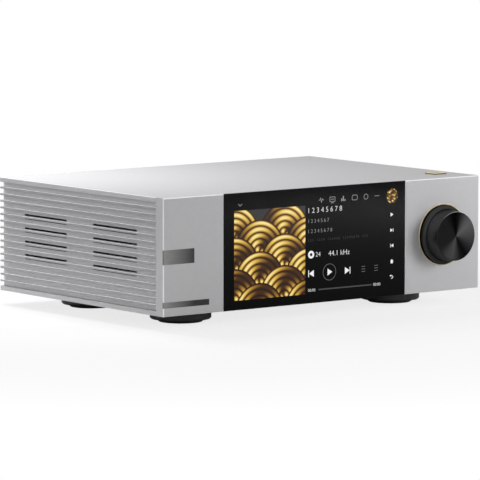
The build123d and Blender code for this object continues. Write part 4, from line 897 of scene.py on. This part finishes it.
def make_display():
    """Rows of plain numbers, play controls, icons and a side row of touch marks.

    All places and sizes here and in both rows are in millimetres.
    """
    white, soft, dim, faint = [
        lit_finish("display_" + name, (tone,) * 3)[0]
        for name, tone in (("white", 0.86), ("grey", 0.3), ("dim", 0.16), ("faint", 0.06))]
    text_left, controls_z, progress_z = -14.6, 30.0, 18.8
    play_x, skip_size = 3.4, (4.0, 2.1, 0.6, 4.6)
    make_marks("display_title", [lettering("1 2 3 4 5 6 7 8", text_left, 72.3, 3.4)], white)
    controls = [pointer(play_x + 0.4, controls_z, 4.0), *skip(-12.3, controls_z, *skip_size, -1),
                *skip(19.0, controls_z, *skip_size)]
    make_marks("display_controls", flat(controls), white)
    reading = [lettering("24", -8.4, 42.6, 3.0), lettering("44.1 kHz", 2.6, 42.6, 3.4)]
    badge = (circle(-12.3, 42.7, 2.6), circle(-12.3, 42.7, 1.1))
    make_marks("display_reading", reading + rings_on_glass([badge]), white)
    make_marks("touch_marks", touch_row(), white)
    lines = [lettering("1 2 3 4 5 6 7", text_left, 65.2, 2.4),
             lettering("1 2 3 4 5 6 7 8", text_left, 58.4, 2.4)]
    make_marks("display_lines", lines, soft)
    times = [lettering("00:00", left, progress_z, 1.9) for left in (-14.8, 41.4)]
    make_marks("display_times", times, white)
    faint_text = "1 2 3    1 2 3 4    1 2 3 4 5 6    1 2 3 4 5 6 7 8    1 2 3"
    progress = bar(-6.1, 40.1, progress_z, 0.9)
    make_marks("display_faint_rows",
               flat([progress]) + [lettering(faint_text, text_left, 52.3, 1.6)], faint)
    make_marks("display_icons", icon_row(), soft)
    queue = [bar(x - 1.6, x + 1.6, controls_z + dz, 0.32)
             for x in (32.7, 43.8) for dz in (1.7, 0.0, -1.7)]
    play_ring = (circle(play_x, controls_z, 5.6, 64), circle(play_x, controls_z, 5.32, 64))
    make_marks("display_rings", flat(queue) + rings_on_glass([play_ring]), dim)


# The mains switch's marks

def make_rocker_marks():
    """The plain I and O of a mains switch, one on each face of its rocker.

    The two faces meet in a valley line. The upper one is upright at rest, and the lower
    one leans out by twice the rocker's lean.
    """
    low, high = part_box("power_rocker")
    lean, valley, mark_reach = math.radians(8.0), 2.4 * mm, 2.9 * mm
    x, _, middle_z = middle("power_rocker")
    valley_y = low.y + (high.z - low.z) / 2 + valley * math.cos(lean)
    valley_z = middle_z + valley * math.sin(lean)
    out, down = math.sin(2 * lean), math.cos(2 * lean)
    across = np.array([-1.0, 0, 0])
    upper = (np.array([x, valley_y, valley_z + mark_reach]), across, np.array([0, 0, 1.0]))
    lower = (np.array([x, valley_y + mark_reach * out, valley_z - mark_reach * down]), across,
             np.array([0, -out, down]))
    line = plaque(block(-0.3, 0.3, -1.5, 1.5), upper)
    ring = hoop(circle(0, 0, 1.6), circle(0, 0, 1.1), lower)
    print_white, shader, tree = plain_finish("printed_white", (0.7, 0.7, 0.7), roughness=0.5)
    speckle = noise(tree, object_place(tree), 0.2 * mm)
    feed(tree, shader, Base_Color=two_colours(tree, speckle, (0.6,) * 3, (0.78,) * 3))
    make_marks("rocker_marks", [line, ring], print_white, "power_rocker")


# Camera, light and floor

def make_camera():
    """A long lens at the viewing angle: the eye looks down its back direction from a distance."""
    azimuth, elevation, roll = math.radians(-37.606), math.radians(6.207), math.radians(0.044)
    distance, shift_right, shift_up = 2.849928, -0.057131, 0.041477
    focal_pixels, picture_pixels = 4258.588, 480
    back = Vector((math.sin(azimuth) * math.cos(elevation),
                   -math.cos(azimuth) * math.cos(elevation), math.sin(elevation)))
    level_right = Vector((math.cos(azimuth), math.sin(azimuth), 0))
    level_up = back.cross(level_right)
    right = level_right * math.cos(roll) + level_up * math.sin(roll)
    up = level_up * math.cos(roll) - level_right * math.sin(roll)
    corner = Vector((0, front_y, plate_low.z))
    data = bpy.data.cameras.new("camera")
    data.sensor_width = 36
    data.lens = data.sensor_width * focal_pixels / picture_pixels
    data.clip_end = 20
    camera = add_object("camera", data)
    turn = Matrix((right, up, back)).transposed()
    place = corner + back * distance + right * shift_right + up * shift_up
    camera.matrix_world = Matrix.Translation(place) @ turn.to_4x4()
    bpy.context.scene.camera = camera


def add_lamp(name, place, target, width, height, power, in_gloss=True):
    """A soft square lamp that faces its target, seen in gloss or not."""
    data = bpy.data.lights.new(name, "AREA")
    data.shape = "RECTANGLE"
    data.size, data.size_y = width, height
    data.energy = power
    lamp = add_object(name, data)
    lamp.location = place
    lamp.rotation_euler = (Vector(place) - Vector(target)).to_track_quat("Z", "Y").to_euler()
    lamp.visible_camera = False
    lamp.visible_glossy = in_gloss


def make_world(soft_light):
    """White behind the object, and a softer even light on it."""
    world = bpy.data.worlds.new("studio")
    world.use_nodes = True
    tree = world.node_tree
    ray = new_node(tree, "ShaderNodeLightPath").outputs
    through = work_out(tree, "MAXIMUM", ray["Is Camera Ray"], ray["Is Transmission Ray"])
    seen = work_out(tree, "MAXIMUM", through, ray["Is Glossy Ray"])
    feed(tree, tree.nodes["Background"], Color=(1, 1, 1),
         Strength=to_range(tree, seen, 0, 1, soft_light, 1.0))
    bpy.context.scene.world = world


def make_floor():
    """A wide round floor that keeps a light shadow near the object and is plain white beyond.

    The camera sees the shaded floor by a share that falls from the middle outwards, and
    the white behind it by the rest. Everything else meets the whole floor.
    """
    floor_radius, near, far, near_share = 3.0, 0.2, 0.5, 0.22
    places = np.insert(circle(0, 0, floor_radius, count=96), 2, 0.0, axis=1)
    mesh = bpy.data.meshes.new("floor")
    mesh.from_pydata(places, [], [list(range(len(places)))])
    material, shader, tree = plain_finish("floor_white", (0.9, 0.9, 0.9), roughness=0.9,
                                          Specular_IOR_Level=0.0)
    reach = new_node(tree, "ShaderNodeVectorMath", {0: object_place(tree)}, operation="LENGTH")
    shown = to_range(tree, reach.outputs["Value"], near, far, near_share, 0.0)
    camera_ray = new_node(tree, "ShaderNodeLightPath").outputs["Is Camera Ray"]
    hidden = work_out(tree, "MULTIPLY", camera_ray, work_out(tree, "SUBTRACT", 1.0, shown))
    clear = new_node(tree, "ShaderNodeBsdfTransparent").outputs["BSDF"]
    surfaces = {"Fac": hidden, 1: shader.outputs["BSDF"], 2: clear}
    mixed = new_node(tree, "ShaderNodeMixShader", surfaces).outputs["Shader"]
    feed(tree, tree.nodes["Material Output"], Surface=mixed)
    mesh.materials.append(material)
    floor = add_object("floor", mesh)


# Dressing the model

set_finish(aluminium_finish(), "front_panel", "top_cover", "bottom_plate", "rear_panel",
           "corner_posts", "ssd_hatch")
set_finish(ribbed_finish(), "left_side_panel", "right_side_panel")
set_finish(inlay_finish(), "upper_inlay_plate", "lower_inlay_plate")
set_finish(glass_finish(), "front_glass")
set_finish(gold_finish("ring_gold", (0.68, 0.57, 0.35)), "knob_trim_ring")
set_finish(gold_finish("antenna_gold", socket_gold), "antenna_left", "antenna_right")
set_finish(label_finish(), "top_label")
set_finish(board_finish(), "display_board", "encoder_board", "mainboard", "dac_board",
           "power_board")
set_finish(wound_finish(), "transformer")

# Name, colour, grain and depth in mm, roughness, further values, and the nodes dressed in it
fine_finishes = (
    ("satin_black", (0.012, 0.012, 0.012), 0.3, 0.01, 0.42, {},
     ("foot_front_left", "foot_front_right", "foot_rear_left", "foot_rear_right")),
    ("foot_rubber", (0.01, 0.01, 0.01), 0.6, 0.03, 0.7, {}, ("foot_pads",)),
    ("zinc_plate", (0.5, 0.5, 0.49), 0.5, 0.004, 0.35, {"metallic": 1.0},
     ("display_bracket", "encoder_body", "encoder_nut", "encoder_shaft", "foot_screws",
      "transformer_bolt", "board_supports", "dac_shield")),
    ("black_oxide", (0.06, 0.06, 0.062), 0.2, 0.004, 0.35, {"metallic": 0.9},
     ("case_screws", "hatch_screw")),
    ("black_anodised", black_plastic, 0.3, 0.004, 0.5, {"metallic": 0.6},
     ("processor_heatsink",)),
    ("moulded_black", black_plastic, 0.35, 0.01, 0.45, {},
     ("display_module", "encoder_rotor", "power_rocker", "fuse_drawer", "optical_in_housing",
      "optical_out_housing", "optical_in_shutter", "optical_out_shutter")),
    ("ribbon_white", (0.75, 0.75, 0.72), 1.0, 0.01, 0.5, {"stretch": (1, 0.05, 0.05)},
     ("display_cable",)),
    ("fuse_ceramic", (0.72, 0.7, 0.66), 0.5, 0.005, 0.3, {}, ("fuse",)))
for name, colour, grain, depth, roughness, values, dressed in fine_finishes:
    set_finish(grained(name, colour, grain * mm, depth * mm, roughness, **values), *dressed)

for port in ("usb_ports", "usb_audio_port", "lan_jack", "hdmi_port"):
    set_finish(port_finish(port), port)
for socket, ring_colour in (("rca_left", (0.75, 0.75, 0.73)), ("rca_right", (0.5, 0.02, 0.02)),
                            ("coax_in", (0.02, 0.02, 0.02)), ("coax_out", (0.55, 0.3, 0.02))):
    set_finish(phono_finish(socket, ring_colour), socket)
for socket in ("xlr_left", "xlr_right"):
    set_finish(metal_inside(socket, socket + "_black", (0.7, 0.68, 0.62),
                            (7.2 * mm, 7.2 * mm), roundness=2), socket)
set_finish(metal_inside("power_inlet", "inlet_black", (0.62, 0.6, 0.56), (9.0 * mm, 5.0 * mm),
                        roundness=8, raised=-3.0 * mm), "power_inlet")

make_knob(spun_finish())
picture_gold = picture_finish()
make_picture(picture_gold)
make_gold_disc(picture_gold)
make_display()
make_rocker_marks()

make_camera()
make_world(soft_light=0.22)
make_floor()
add_lamp("near_left", place=(-0.13, 0.12, 0.28), target=(-0.13, 0.05, 0.06),
         width=0.1, height=0.2, power=0.97, in_gloss=False)
add_lamp("far_left", place=(-1.2, 1.0, 0.6), target=(0, 0, 0.05),
         width=0.8, height=0.8, power=4.8)
add_lamp("front_right", place=(0.62, -0.66, 0.23), target=(0.03, 0, 0.05),
         width=0.3, height=0.3, power=6.0, in_gloss=False)

bpy.context.scene.view_settings.view_transform = "Standard"
